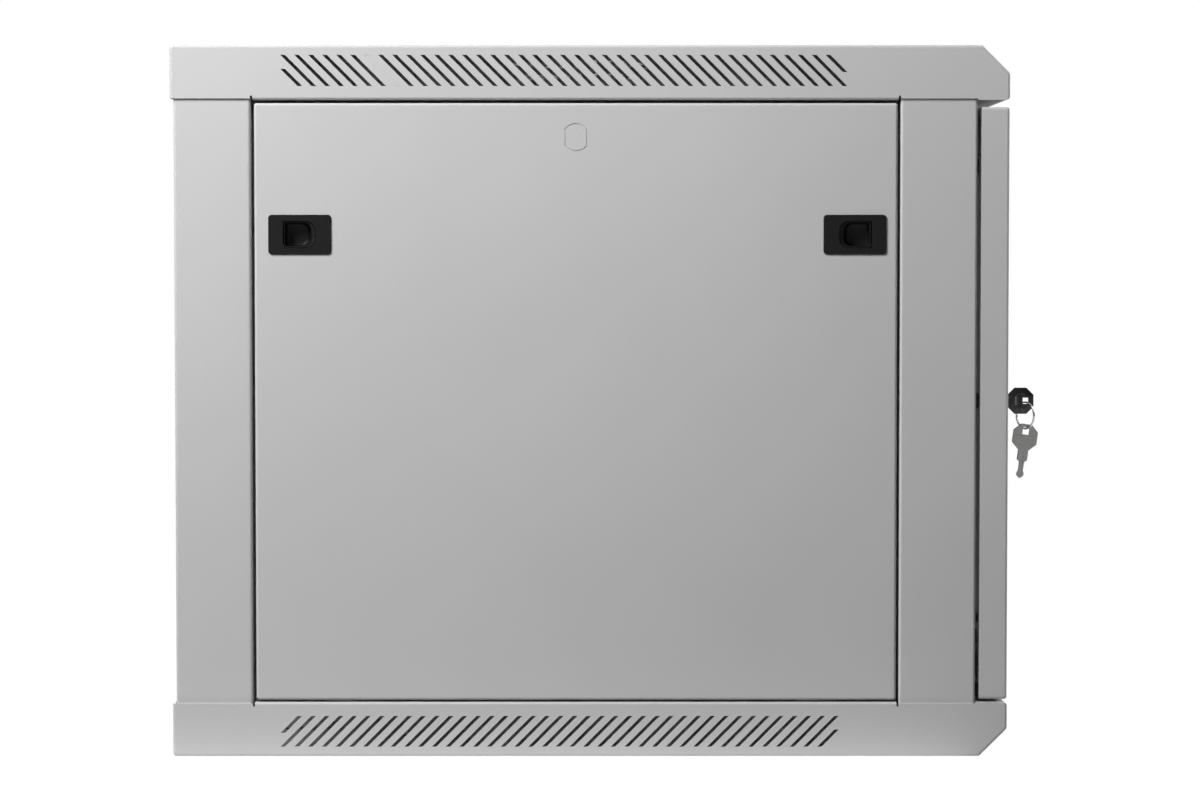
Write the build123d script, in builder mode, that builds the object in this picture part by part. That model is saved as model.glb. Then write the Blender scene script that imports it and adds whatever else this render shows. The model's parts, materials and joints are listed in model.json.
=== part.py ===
from build123d import *
import os
from math import cos, floor, radians, sin, tan

# Wall mount network cabinet for 19 inch equipment, nine units high, 600 wide and 600 deep.
# Millimetres. +Z is up, the door faces -Y and the wall is the plane Y = 0.
# The origin is the centre of the wall fixing pattern, halfway up the back.
# Left and right are as seen from the front of the door, so left is -X.

# Overall size
WIDTH = 600.0
DEPTH = 600.0
HEIGHT = 510.0

# Sheet thicknesses and bends
SHEET = 1.5
PANEL_SHEET = 1.2
BACK_SHEET = 2.5
RAIL_SHEET = 2.0
BEND = 2.0
TOUCH_GAP = 0.3
RIM_MARGIN = 1.0

# Top and bottom covers
COVER_FLANGE = 39.0
POST_STEP = 1.0
NOSE_CHAMFER = 20.0
NOSE_RADIUS = 4.0
REAR_RADIUS = 2.5
LIP_RADIUS = 3.0
SIDE_LIP = 14.0
STOP_BEHIND = 2.5
STOP_DROP = 5.0
RELIEF = 1.6
RELIEF_HEIGHT = 3.0

# Slanted vents in the cover flanges
VENT_HEIGHT = 22.2
VENT_DOWN = 7.0
VENT_WIDTH = 3.3
VENT_LAST = 125.0
TOP_VENT_FIRST = 92.0
TOP_VENT_PITCH = 9.97
BOTTOM_VENT_FIRST = 90.1
BOTTOM_VENT_PITCH = 9.9
BLIND_SLOT = 6
BLIND_DEPTH = 0.25

# Fan vents in the top
FAN_SPACING = 180.0
FAN_RING_STEP = 12.0
FAN_RINGS = 4
FAN_HOLE = 6.0
FAN_FIXING = 105.0
FAN_FIXING_HOLE = 4.3

# Cable entries in the top, bottom and back
CABLE_ENTRY_WIDTH = 300.0
CABLE_ENTRY_DEPTH = 62.0
CABLE_ENTRY_REAR = 50.0
CABLE_ENTRY_RADIUS = 5.0
CABLE_COVER_MARGIN = 12.0
BACK_ENTRY_WIDTH = 320.0
BACK_ENTRY_HEIGHT = 90.0
BACK_ENTRY_DOWN = 100.0

# Corner posts
POST_WIDTH = 55.0
POST_INWARD = 45.0
POST_HEM = 16.0
LANDING = 12.0
PAN_DEPTH = 17.0
LOCK_SLOT_WIDTH = 24.0
LOCK_SLOT_HEIGHT = 52.0

# Back panel and wall fixing
WALL_HOLE = 9.0
WALL_HOLE_IN = 75.0
WALL_HOLE_DOWN = 80.0
BACK_PANEL_INSET = 20.5
BACK_SCREW = 5.0
BACK_SCREW_HEAD = 9.4
BACK_SCREW_LENGTH = 12.0
BACK_SCREW_ROWS = 4
BACK_SCREW_DOWN = 26.0
BACK_SCREW_IN = 30.5

# Side panels
PANEL_GAP_REAR = 2.5
PANEL_GAP_FRONT = 2.0
PANEL_GAP_TOP = 2.2
PANEL_GAP_BOTTOM = 1.5
KNOCKOUT_WIDTH = 16.0
KNOCKOUT_HEIGHT = 20.0
KNOCKOUT_DOWN = 24.3
KNOCKOUT_LINE = 0.6
KNOCKOUT_DEPTH = 0.5
TAB_WIDTH = 20.0
TAB_DROP = 6.0
TAB_INSET = 60.0
TAB_X = 6.0
TAB_SLOT_INNER = 5.0
TAB_SLOT_OUTER = 2.0

# Panel latches
LATCH_LENGTH = 45.0
LATCH_HEIGHT = 28.3
LATCH_PROUD = 1.2
LATCH_CORNER = 2.5
LATCH_EDGE = 0.6
LATCH_DOWN = 93.8
LATCH_MARGIN_REAR = 10.0
LATCH_MARGIN_FRONT = 8.0
LATCH_WINDOW_START = 10.5
LATCH_WINDOW_LENGTH = 23.4
LATCH_WINDOW_HEIGHT = 19.5
LATCH_WINDOW_ROUND = 6.5
LATCH_WINDOW_SMALL = 1.0
LATCH_BODY_START = 2.0
LATCH_BODY_LENGTH = 40.0
LATCH_BODY_HEIGHT = 22.4
LATCH_BODY_DEPTH = 12.0
LATCH_WALL = 1.2
LATCH_FIT = 0.3
LATCH_SNAP = 1.0
SNAP_LENGTH = 12.0
CUP_WALL = 1.0
CUP_FLOOR = 1.6
TONGUE_TIP = 3.5
TONGUE_THICKNESS = 2.0
TONGUE_HEIGHT = 12.0
TONGUE_BEHIND = 0.6
NECK_LENGTH = 12.0

# Depth brackets and 19 inch rails
BRACKET_HEIGHT = 44.0
BRACKET_FLANGE = 14.0
BRACKET_DOWN = 26.0
BRACKET_SCREW = 6.0
RACK_UNIT = 44.45
RACK_HOLE = 9.5
RACK_HOLE_IN = 7.55
RACK_HOLE_END = 6.35
RAIL_FACE = 30.0
RAIL_EXTRA = 10.0
RAIL_LEG = 45.0
RAIL_HEM = 10.0
FRONT_RAIL_SETBACK = 40.0
REAR_RAIL_SETBACK = 140.0
FRONT_RAIL_TRAVEL = 60.0
REAR_RAIL_TRAVEL = 120.0
RAIL_BOLT = 6.0
RAIL_BOLT_BACK = 30.0
RAIL_SLOT_FIT = 0.4

# Fastener forms
HEAD_RATIO = 1.75
HEAD_HEIGHT_RATIO = 0.5
NUT_RATIO = 1.65
NUT_HEIGHT_RATIO = 0.8
SOCKET_RATIO = 0.66

# Door
DOOR_DEPTH = 20.0
DOOR_GAP_BACK = 3.0
DOOR_GAP_TOP = 5.0
DOOR_GAP_BOTTOM = 2.0
DOOR_SIDE_INSET = 2.0
DOOR_LIP = 9.0
DOOR_STILE = 58.0
DOOR_RAIL = 45.0
WINDOW_RADIUS = 8.0
GLASS = 4.0
GLASS_OVERLAP = 9.0
GASKET = 1.5
GASKET_WIDTH = 7.0
RETAINER_LAP = 6.0
RETAINER_FOOT = 10.0
RETAINER_END_GAP = 4.0
STUD = 3.0
STUD_LENGTH = 6.0
STUDS_PER_STRIP = 3
BUMPER = 10.0
BUMPER_SIDE = 20.0
BUMPER_DOWN = 46.0

# Door hinge pins
PIN = 6.0
PIN_FIT = 0.05
PIN_CHAMFER = 0.75
PIN_SIDE = 6.5
PIN_BACK = 11.0
BUSH = 9.0
BUSH_HEIGHT = 8.0
LOWER_PIN_RISE = 16.0
PIN_HEAD = 10.0
PIN_HEAD_HEIGHT = 2.0
WASHER = 11.5
UPPER_PIN_RISE = 3.0
SPRING_LENGTH = 20.0
SPRING_WIRE = 0.8
SPRING_TURNS = 6
SPRING_SIDES = 8
SPRING_DIAMETER = 8.2
COLLAR = 8.4
COLLAR_HEIGHT = 2.0
COLLAR_DOWN = 8.0
PIN_TAIL = 12.0
PIN_LEVER = 15.0

# Door lock and keys
LOCK_SIDE = 24.0
LOCK_DIAMETER = 19.0
LOCK_FLATS = 16.0
LOCK_FLANGE = 21.0
LOCK_FLANGE_HEIGHT = 1.5
LOCK_LENGTH = 17.0
LOCK_EDGE = 0.6
LOCK_HOLE_FIT = 0.3
LOCK_NUT_FLATS = 22.0
LOCK_NUT_HEIGHT = 4.0
BARREL = 13.0
BARREL_FIT = 0.05
BARREL_PROUD = 0.3
BARREL_TAIL = 11.0
BARREL_PAST = 1.0
CAM_GAP = 1.0
CAM_THICKNESS = 2.0
CAM_WIDTH = 11.0
CAM_REACH = 20.0
CAM_SQUARE = 6.0
CAM_SCREW = 3.0
CAM_SCREW_HEAD = 9.0
CAM_SCREW_LENGTH = 8.0
KEY_THICKNESS = 1.8
KEY_WIDTH = 6.5
KEY_FIT = 0.15
KEY_REACH = 22.0
KEYWAY_SPARE = 1.0
KEY_GROOVE = 0.8
KEY_GROOVE_DEPTH = 0.5
KEY_HEAD_GAP = 1.0
KEY_HEAD_LENGTH = 18.3
KEY_HEAD_HEIGHT = 19.0
KEY_HEAD_THICKNESS = 3.0
KEY_HEAD_CORNER = 5.2
KEY_HOLE_LENGTH = 4.2
KEY_HOLE_HEIGHT = 4.5
KEY_HOLE_FROM_END = 5.9
KEY_TANG = 6.0
KEY_PAD_FROM_BASE = 6.6
KEY_PAD_LENGTH = 5.0
KEY_PAD_HEIGHT = 9.0
KEY_PAD_LINE = 0.9
KEY_PAD_DEPTH = 0.4
RING_WIRE = 1.3
RING_RADIUS = 9.6
RING_TURN = 33.0
RING_REST = 0.55
SPARE_BOW_WIDTH = 18.0
SPARE_BOW_HEIGHT = 19.0
SPARE_BOW_CORNER = 5.0
SPARE_THICKNESS = 1.8
SPARE_SHOULDER_WIDTH = 7.6
SPARE_SHOULDER_HEIGHT = 7.0
SPARE_BLADE_WIDTH = 4.0
SPARE_BULB_WIDTH = 5.4
SPARE_BULB_LENGTH = 7.5
SPARE_BULB_SIDE = 2.2
SPARE_LENGTH = 39.4
SPARE_TIP = 1.6
SPARE_HOLE_WIDTH = 4.6
SPARE_HOLE_HEIGHT = 5.2
SPARE_HOLE_DOWN = 2.4
SPARE_SIDE = 0.8
SPARE_TILT = 7.5
SPARE_REST = 0.35

# Earth stud
EARTH_STUD = 6.0
EARTH_STUD_LENGTH = 16.0
EARTH_X = 200.0
EARTH_Y = 160.0

# Planes and lines that several pieces share
HALF_WIDTH = WIDTH / 2
TOP = HEIGHT / 2
FRONT = -DEPTH
FLANGE_EDGE = TOP - COVER_FLANGE
POST_FACE = HALF_WIDTH - SHEET
POST_FRONT = FRONT + DOOR_DEPTH + DOOR_GAP_BACK
POST_REAR = -BACK_SHEET
FRONT_EDGE = POST_FRONT + POST_WIDTH
REAR_EDGE = POST_REAR - POST_WIDTH
POST_MIDDLE = (POST_FRONT + POST_REAR) / 2
LANDING_X = POST_FACE - PAN_DEPTH
STOP_X = LANDING_X - STOP_BEHIND
POST_OPENING = POST_FACE - POST_INWARD
BRACKET_X = POST_OPENING + SHEET
BRACKET_Z = FLANGE_EDGE - BRACKET_DOWN
WALL_HOLE_X = HALF_WIDTH - WALL_HOLE_IN
WALL_HOLE_Z = TOP - WALL_HOLE_DOWN
BACK_SCREW_X = POST_FACE - BACK_SCREW_IN
BACK_SCREW_SPAN = 2 * (FLANGE_EDGE - BACK_SCREW_DOWN)
VENT_LEAN = VENT_HEIGHT / 2
VENT_Z = TOP - VENT_DOWN - VENT_LEAN
PANEL_REAR = REAR_EDGE - PANEL_GAP_REAR
PANEL_FRONT = FRONT_EDGE + PANEL_GAP_FRONT
PANEL_TOP = FLANGE_EDGE - PANEL_GAP_TOP
PANEL_BOTTOM = -FLANGE_EDGE + PANEL_GAP_BOTTOM
PANEL_LENGTH = PANEL_REAR - PANEL_FRONT
PANEL_HEIGHT = PANEL_TOP - PANEL_BOTTOM
LATCH_Z = PANEL_TOP - LATCH_DOWN
DOOR_TOP = FLANGE_EDGE - DOOR_GAP_TOP
DOOR_BOTTOM = -FLANGE_EDGE + DOOR_GAP_BOTTOM
DOOR_HEIGHT = DOOR_TOP - DOOR_BOTTOM
DOOR_HALF = HALF_WIDTH - DOOR_SIDE_INSET
DOOR_BACK = FRONT + DOOR_DEPTH
DOOR_MIDDLE = (DOOR_TOP + DOOR_BOTTOM) / 2
BUMPER_Z = FLANGE_EDGE - BUMPER_DOWN
WINDOW_WIDTH = 2 * (DOOR_HALF - DOOR_STILE)
WINDOW_HEIGHT = DOOR_HEIGHT - 2 * DOOR_RAIL
PIN_X = DOOR_HALF - PIN_SIDE
PIN_Y = DOOR_BACK - PIN_BACK
LOCK_X = -(DOOR_HALF - LOCK_SIDE)
CAM_Y = POST_FRONT + SHEET + CAM_GAP
BARREL_FACE = FRONT - LOCK_FLANGE_HEIGHT - BARREL_PROUD
KEY_HEAD_BASE = BARREL_FACE - KEY_HEAD_GAP
KEY_HEAD_END = KEY_HEAD_BASE - KEY_HEAD_LENGTH
KEY_HOLE_Y = KEY_HEAD_END + KEY_HOLE_FROM_END
RING_TOP = -KEY_HOLE_HEIGHT / 2 + RING_WIRE / 2 + RING_REST
RING_BOTTOM = RING_TOP - 2 * RING_RADIUS
GLASS_WIDTH = WINDOW_WIDTH + 2 * GLASS_OVERLAP
GLASS_HEIGHT = WINDOW_HEIGHT + 2 * GLASS_OVERLAP
GLASS_FRONT = FRONT + SHEET + GASKET
RACK_UNITS = floor((2 * FLANGE_EDGE - 2 * RAIL_EXTRA) / RACK_UNIT)
RACK_HEIGHT = RACK_UNIT * RACK_UNITS
RAIL_INNER = BRACKET_X - RAIL_FACE
RACK_HOLE_X = RAIL_INNER + RACK_HOLE_IN
RAIL_HEIGHT = RACK_HEIGHT + 2 * RAIL_EXTRA
FRONT_RAIL_Y = POST_FRONT + FRONT_RAIL_SETBACK
REAR_RAIL_Y = -REAR_RAIL_SETBACK
RAIL_MIDDLE = (FRONT_RAIL_Y + REAR_RAIL_Y) / 2

os.makedirs("parts", exist_ok=True)


def finish(piece, name):
    """Label a finished piece and write it to its own file."""
    piece.part.label = name
    export_step(piece.part, f"parts/{name}.step")


def mirror_plane_y(y):
    """The plane across the depth at this Y."""
    return Plane.XZ.offset(-y)


def bent_sheet(points, thickness, plane, length, side=Side.LEFT):
    """A strip of sheet folded along the points, its material on the given side of them."""
    with BuildPart() as strip:
        with BuildSketch(plane):
            with BuildLine():
                face_line = FilletPolyline(*points, radius=BEND)
                offset(face_line, amount=thickness, side=side)
            make_face()
        extrude(amount=length / 2, both=True)
    return strip


# Covers


def cover_profile(inset):
    """Side outline of the top cover with its chamfered nose, or of the space inside its sheet."""
    slope = inset * tan(radians(22.5))
    bottom = FLANGE_EDGE - inset
    with BuildSketch(Plane.YZ) as side:
        with BuildLine():
            Polyline(
                (-inset, bottom),
                (-inset, TOP - inset),
                (FRONT + NOSE_CHAMFER + slope, TOP - inset),
                (FRONT + inset, TOP - NOSE_CHAMFER - slope),
                (FRONT + inset, bottom),
                close=True,
            )
        make_face()
        fillet(side.vertices().group_by(Axis.Y)[-1], radius=REAR_RADIUS - inset)
        nose = side.vertices().group_by(Axis.X)[0].sort_by(Axis.Y)[-1]
        fillet(nose, radius=NOSE_RADIUS - inset)
    return side.sketch


def slanted_slot(low, high, width):
    """A slot leaning at 45 degrees, cut off level at both heights, at the current places."""
    half = width / 2
    corners = (
        (low - half, low),
        (low + half, low),
        (high + half, high),
        (high - half, high),
    )
    Polygon(*corners, align=None)


def vent_field(first, pitch, skipped=None):
    """A row of slanted slots that starts and ends with a short one."""
    count = floor((DEPTH - VENT_LAST - first) / pitch) + 1
    full = [(-(first + pitch * i), VENT_Z) for i in range(count) if i != skipped]
    with BuildSketch(Plane.YZ) as field:
        with Locations(*full):
            slanted_slot(-VENT_LEAN, VENT_LEAN, VENT_WIDTH)
        with Locations((pitch - first, VENT_Z)):
            slanted_slot(-VENT_LEAN, VENT_LEAN - pitch, VENT_WIDTH)
        with Locations((-(first + pitch * count), VENT_Z)):
            slanted_slot(pitch - VENT_LEAN, VENT_LEAN, VENT_WIDTH)
    return field.sketch


def blind_outline():
    """The outline of one slot in the top cover whose slug was left standing."""
    place = -(TOP_VENT_FIRST + TOP_VENT_PITCH * BLIND_SLOT)
    short = VENT_LEAN - BLIND_DEPTH
    with BuildSketch(Plane.YZ.offset(-HALF_WIDTH)) as outline:
        with Locations((place, VENT_Z)):
            slanted_slot(-VENT_LEAN, VENT_LEAN, VENT_WIDTH)
            with BuildSketch(mode=Mode.PRIVATE) as slug:
                slanted_slot(-short, short, VENT_WIDTH - 2 * BLIND_DEPTH)
            add(slug.sketch, mode=Mode.SUBTRACT)
    return outline.sketch


def make_cover(is_top):
    """A folded pan, drawn the right way up as the top cover."""
    if is_top:
        slots = vent_field(TOP_VENT_FIRST, TOP_VENT_PITCH)
        near_slots = vent_field(TOP_VENT_FIRST, TOP_VENT_PITCH, BLIND_SLOT)
    else:
        slots = vent_field(BOTTOM_VENT_FIRST, BOTTOM_VENT_PITCH)
        near_slots = slots
    lip_middle = (FRONT_EDGE + REAR_EDGE) / 2
    lip_length = REAR_EDGE - FRONT_EDGE - 2 * RELIEF
    front_lip = POST_FRONT - TOUCH_GAP - FRONT
    with BuildPart() as cover:
        extrude(cover_profile(0), amount=HALF_WIDTH, both=True)
        for end in (0, -1):
            rim = cover.faces().sort_by(Axis.X)[end].edges()
            upper_rim = rim.filter_by(lambda e: e.center().Z > FLANGE_EDGE + RIM_MARGIN)
            fillet(upper_rim, radius=BEND)
        extrude(
            cover_profile(SHEET),
            amount=HALF_WIDTH - SHEET,
            both=True,
            mode=Mode.SUBTRACT,
        )
        # The flange is a little shorter where it laps over the posts, with a relief notch beside
        for edge, post_face in ((FRONT_EDGE, POST_FRONT), (REAR_EDGE, SHEET)):
            outwards = 1 if post_face < edge else -1
            middle = (edge + post_face) / 2
            with BuildSketch(Plane.YZ):
                with Locations((middle, FLANGE_EDGE)):
                    Rectangle(abs(edge - post_face), 2 * POST_STEP)
                with Locations((edge + outwards * RELIEF / 2, FLANGE_EDGE)):
                    Rectangle(RELIEF, 2 * RELIEF_HEIGHT)
            extrude(amount=HALF_WIDTH, both=True, mode=Mode.SUBTRACT)
        # Return lips between the posts, bent inwards
        for side in (-1, 1):
            lip_x = side * (HALF_WIDTH - SIDE_LIP / 2)
            with BuildSketch(Plane.XY.offset(FLANGE_EDGE)):
                with Locations((lip_x, lip_middle)):
                    Rectangle(SIDE_LIP, lip_length)
            extrude(amount=SHEET)
        lip_edges = cover.edges().filter_by(Axis.Y).group_by(Axis.Z)[0]
        lip_edges = lip_edges.filter_by(lambda e: e.center().Y > FRONT_EDGE)
        fillet(lip_edges.group_by(Axis.X)[0] + lip_edges.group_by(Axis.X)[-1], radius=BEND)
        # The upper lips reach behind the side panels and turn down there
        if is_top:
            stop_length = lip_length - 2 * LANDING
            shelf = HALF_WIDTH - SIDE_LIP - STOP_X
            drop = STOP_DROP + SHEET
            for side in (-1, 1):
                with Locations((side * (STOP_X + shelf / 2), lip_middle, FLANGE_EDGE)):
                    Box(shelf, stop_length, SHEET, align=(Align.CENTER, Align.CENTER, Align.MIN))
                with Locations((side * (STOP_X + SHEET / 2), lip_middle, FLANGE_EDGE + SHEET)):
                    Box(SHEET, stop_length, drop, align=(Align.CENTER, Align.CENTER, Align.MAX))
        # Front return, whose corners follow the upright bends
        with BuildSketch(Plane.XY.offset(FLANGE_EDGE)) as front_return:
            with Locations((0, FRONT + front_lip / 2)):
                Rectangle(WIDTH, front_lip)
            fillet(front_return.vertices().group_by(Axis.Y)[0], radius=BEND)
        extrude(amount=SHEET)
        with BuildSketch(Plane.YZ):
            with Locations((FRONT, FLANGE_EDGE)):
                Rectangle(LIP_RADIUS, LIP_RADIUS, align=(Align.MIN, Align.MIN))
            with Locations((FRONT + LIP_RADIUS, FLANGE_EDGE + LIP_RADIUS)):
                Circle(LIP_RADIUS, mode=Mode.SUBTRACT)
        extrude(amount=HALF_WIDTH, both=True, mode=Mode.SUBTRACT)
        # Slanted vents in both side flanges
        extrude(slots, amount=HALF_WIDTH, mode=Mode.SUBTRACT)
        extrude(near_slots, amount=-HALF_WIDTH, mode=Mode.SUBTRACT)
        if is_top:
            extrude(blind_outline(), amount=BLIND_DEPTH, mode=Mode.SUBTRACT)
            extrude(fan_vents(), amount=-2 * SHEET, mode=Mode.SUBTRACT)
        # Cable entry, cover screw holes and hinge pin holes for either hand
        with BuildSketch(Plane.XY.offset(TOP)):
            with Locations((0, -(CABLE_ENTRY_REAR + CABLE_ENTRY_DEPTH / 2))):
                RectangleRounded(CABLE_ENTRY_WIDTH, CABLE_ENTRY_DEPTH, CABLE_ENTRY_RADIUS)
            with Locations(*cable_screw_places()):
                Circle(BRACKET_SCREW / 2)
        extrude(amount=-2 * SHEET, mode=Mode.SUBTRACT)
        with BuildSketch(Plane.XY.offset(FLANGE_EDGE)):
            with Locations((PIN_X, PIN_Y), (-PIN_X, PIN_Y)):
                Circle(PIN / 2 + PIN_FIT)
        extrude(amount=SHEET, mode=Mode.SUBTRACT)
        if not is_top:
            extrude(tab_slots(), amount=SHEET, mode=Mode.SUBTRACT)
            mirror(about=Plane.XY, mode=Mode.REPLACE)
    return cover


def tab_slots():
    """Slots in the side lips that let the side panels tilt on their tabs."""
    width = TAB_SLOT_INNER + TAB_SLOT_OUTER
    x = POST_FACE - TAB_X - (TAB_SLOT_INNER - TAB_SLOT_OUTER) / 2
    with BuildSketch(Plane.XY.offset(FLANGE_EDGE)) as slots:
        with Locations(*[(side * x, y) for side in (-1, 1) for y in tab_places()]):
            Rectangle(width, TAB_WIDTH + 2 * RELIEF)
    return slots.sketch


def fan_vents():
    """Two round fields of holes in the top, each with four fan fixing holes."""
    with BuildSketch(Plane.XY.offset(TOP)) as vents:
        for x in (-FAN_SPACING / 2, FAN_SPACING / 2):
            with Locations((x, POST_MIDDLE)):
                Circle(FAN_HOLE / 2)
                for ring in range(1, FAN_RINGS + 1):
                    with PolarLocations(ring * FAN_RING_STEP, 6 * ring):
                        Circle(FAN_HOLE / 2)
                with GridLocations(FAN_FIXING, FAN_FIXING, 2, 2):
                    Circle(FAN_FIXING_HOLE / 2)
    return vents.sketch


def tab_places():
    """Depths of the side panel's bottom tabs."""
    return (PANEL_REAR - TAB_INSET, PANEL_FRONT + TAB_INSET)


def cable_screw_places():
    """Screw holes beside the long ends of a cable entry."""
    x = CABLE_ENTRY_WIDTH / 2 + CABLE_COVER_MARGIN
    middle = -(CABLE_ENTRY_REAR + CABLE_ENTRY_DEPTH / 2)
    dy = CABLE_ENTRY_DEPTH / 2 - CABLE_COVER_MARGIN
    return [(sx * x, middle + sy * dy) for sx in (-1, 1) for sy in (-1, 1)]


def make_cable_cover(is_top):
    """A flat plate that closes a cable entry from inside."""
    level = TOP - SHEET
    with BuildPart() as plate:
        with BuildSketch(Plane.XY.offset(level)):
            with Locations((0, -(CABLE_ENTRY_REAR + CABLE_ENTRY_DEPTH / 2))):
                RectangleRounded(
                    CABLE_ENTRY_WIDTH + 4 * CABLE_COVER_MARGIN,
                    CABLE_ENTRY_DEPTH + CABLE_COVER_MARGIN,
                    CABLE_ENTRY_RADIUS,
                )
            with Locations(*cable_screw_places()):
                Circle(BRACKET_SCREW / 2, mode=Mode.SUBTRACT)
        extrude(amount=-SHEET)
        if not is_top:
            mirror(about=Plane.XY, mode=Mode.REPLACE)
    return plate


def make_cable_cover_screws():
    """Flanged screws that hold both cable covers from inside."""
    with BuildPart() as screws:
        for x, y in cable_screw_places():
            with Locations((x, y, TOP - 2 * SHEET)):
                Cylinder(
                    BRACKET_SCREW * HEAD_RATIO / 2,
                    BRACKET_SCREW * HEAD_HEIGHT_RATIO,
                    align=(Align.CENTER, Align.CENTER, Align.MAX),
                )
                Cylinder(
                    BRACKET_SCREW / 2,
                    2 * SHEET,
                    align=(Align.CENTER, Align.CENTER, Align.MIN),
                )
        mirror(about=Plane.XY)
    return screws


# Posts and back


def make_post(is_left, is_front):
    """A corner post folded from sheet; drawn front left and mirrored to its corner."""
    points = (
        (-LANDING_X, FRONT_EDGE + LANDING),
        (-LANDING_X, FRONT_EDGE),
        (-POST_FACE, FRONT_EDGE),
        (-POST_FACE, POST_FRONT),
        (-POST_OPENING, POST_FRONT),
        (-POST_OPENING, POST_FRONT + POST_HEM),
    )
    length = HEIGHT - 2 * SHEET
    strip = bent_sheet(points, SHEET, Plane.XY, length)
    with BuildPart() as post:
        add(strip.part)
        # Screw holes for the depth brackets in the hem
        with BuildSketch(Plane.YZ.offset(-POST_OPENING)):
            with Locations(*bracket_screw_places(POST_FRONT, 1)):
                Circle(BRACKET_SCREW / 2)
        extrude(amount=-SHEET, mode=Mode.SUBTRACT)
        if is_front:
            with BuildSketch(mirror_plane_y(POST_FRONT)):
                with Locations((LOCK_X, 0)):
                    RectangleRounded(LOCK_SLOT_WIDTH, LOCK_SLOT_HEIGHT, BEND)
            extrude(amount=-SHEET, mode=Mode.SUBTRACT)
        else:
            with BuildSketch(mirror_plane_y(POST_FRONT)):
                with Locations(*[(-BACK_SCREW_X, z) for z in back_screw_rows()]):
                    Circle(BACK_SCREW / 2)
            extrude(amount=-SHEET, mode=Mode.SUBTRACT)
            mirror(about=mirror_plane_y(POST_MIDDLE), mode=Mode.REPLACE)
        if not is_left:
            mirror(about=Plane.YZ, mode=Mode.REPLACE)
    return post


def bracket_screw_places(post_face, direction):
    """Centres, as depth and height, of the bracket screws at one end."""
    y = post_face + direction * POST_HEM / 2
    offsets = (-BRACKET_HEIGHT / 4, BRACKET_HEIGHT / 4)
    return [(y, s * BRACKET_Z + dz) for s in (-1, 1) for dz in offsets]


def back_screw_rows():
    """Heights of the back panel's screws."""
    step = BACK_SCREW_SPAN / (BACK_SCREW_ROWS - 1)
    return [step * i - BACK_SCREW_SPAN / 2 for i in range(BACK_SCREW_ROWS)]


def make_back_panel():
    """The plate that carries the cabinet on the wall."""
    half_x = POST_FACE - BACK_PANEL_INSET
    half_z = FLANGE_EDGE - TOUCH_GAP
    with BuildPart() as panel:
        with BuildSketch(Plane.XZ):
            Rectangle(2 * half_x, 2 * half_z)
            with GridLocations(2 * WALL_HOLE_X, 2 * WALL_HOLE_Z, 2, 2):
                Circle(WALL_HOLE / 2, mode=Mode.SUBTRACT)
            with Locations((0, -BACK_ENTRY_DOWN)):
                RectangleRounded(
                    BACK_ENTRY_WIDTH,
                    BACK_ENTRY_HEIGHT,
                    CABLE_ENTRY_RADIUS,
                    mode=Mode.SUBTRACT,
                )
        extrude(amount=BACK_SHEET)
        for x in (-BACK_SCREW_X, BACK_SCREW_X):
            with Locations(*[Location((x, 0, z), (-90, 0, 0)) for z in back_screw_rows()]):
                CounterSinkHole(
                    BACK_SCREW / 2, BACK_SCREW_HEAD / 2, BACK_SHEET, counter_sink_angle=90
                )
    return panel


def make_back_screws():
    """Countersunk screws through the back panel into the rear posts."""
    sink = (BACK_SCREW_HEAD - BACK_SCREW) / 2
    with BuildPart() as screws:
        with BuildSketch(Plane.XY):
            with BuildLine():
                Polyline(
                    (0, 0),
                    (BACK_SCREW_HEAD / 2, 0),
                    (BACK_SCREW / 2, -sink),
                    (BACK_SCREW / 2, -BACK_SCREW_LENGTH),
                    (0, -BACK_SCREW_LENGTH),
                    close=True,
                )
            make_face()
        revolve(axis=Axis.Y)
        with BuildSketch(Plane.XZ):
            RegularPolygon(BACK_SCREW * SOCKET_RATIO / 2, 6)
        extrude(amount=sink, mode=Mode.SUBTRACT)
    places = [
        Location((x, 0, z)) for x in (-BACK_SCREW_X, BACK_SCREW_X) for z in back_screw_rows()
    ]
    with BuildPart() as group:
        with Locations(*places):
            add(screws.part)
    return group


# Depth brackets and rails


def make_bracket(is_left, is_upper):
    """A channel between the front and rear posts, slotted for the rail bolts."""
    length = POST_REAR - POST_FRONT - 2 * BEND
    z = BRACKET_Z
    inner = z - BRACKET_HEIGHT / 2
    outer = z + BRACKET_HEIGHT / 2
    points = (
        (-BRACKET_X - BRACKET_FLANGE, outer),
        (-BRACKET_X, outer),
        (-BRACKET_X, inner),
        (-BRACKET_X - BRACKET_FLANGE, inner),
    )
    plane = mirror_plane_y(POST_MIDDLE)
    channel = bent_sheet(points, RAIL_SHEET, plane, length, Side.RIGHT)
    with BuildPart() as bracket:
        add(channel.part)
        screws = bracket_screw_places(POST_FRONT, 1) + bracket_screw_places(POST_REAR, -1)
        with BuildSketch(Plane.YZ.offset(-BRACKET_X)):
            with Locations(*[place for place in screws if place[1] > 0]):
                Circle(BRACKET_SCREW / 2)
            for start, stop in rail_slots():
                with Locations(((start + stop) / 2, z)):
                    SlotCenterToCenter(stop - start, RAIL_BOLT + 2 * RAIL_SLOT_FIT)
        extrude(amount=-RAIL_SHEET, mode=Mode.SUBTRACT)
        if not is_upper:
            mirror(about=Plane.XY, mode=Mode.REPLACE)
        if not is_left:
            mirror(about=Plane.YZ, mode=Mode.REPLACE)
    return bracket


def rail_slots():
    """Ends of the front and rear slots, as depths of the bolt centre."""
    front_bolt = FRONT_RAIL_Y + RAIL_BOLT_BACK
    rear_bolt = REAR_RAIL_Y - RAIL_BOLT_BACK
    return (
        (front_bolt, front_bolt + FRONT_RAIL_TRAVEL),
        (rear_bolt - REAR_RAIL_TRAVEL, rear_bolt),
    )


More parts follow.
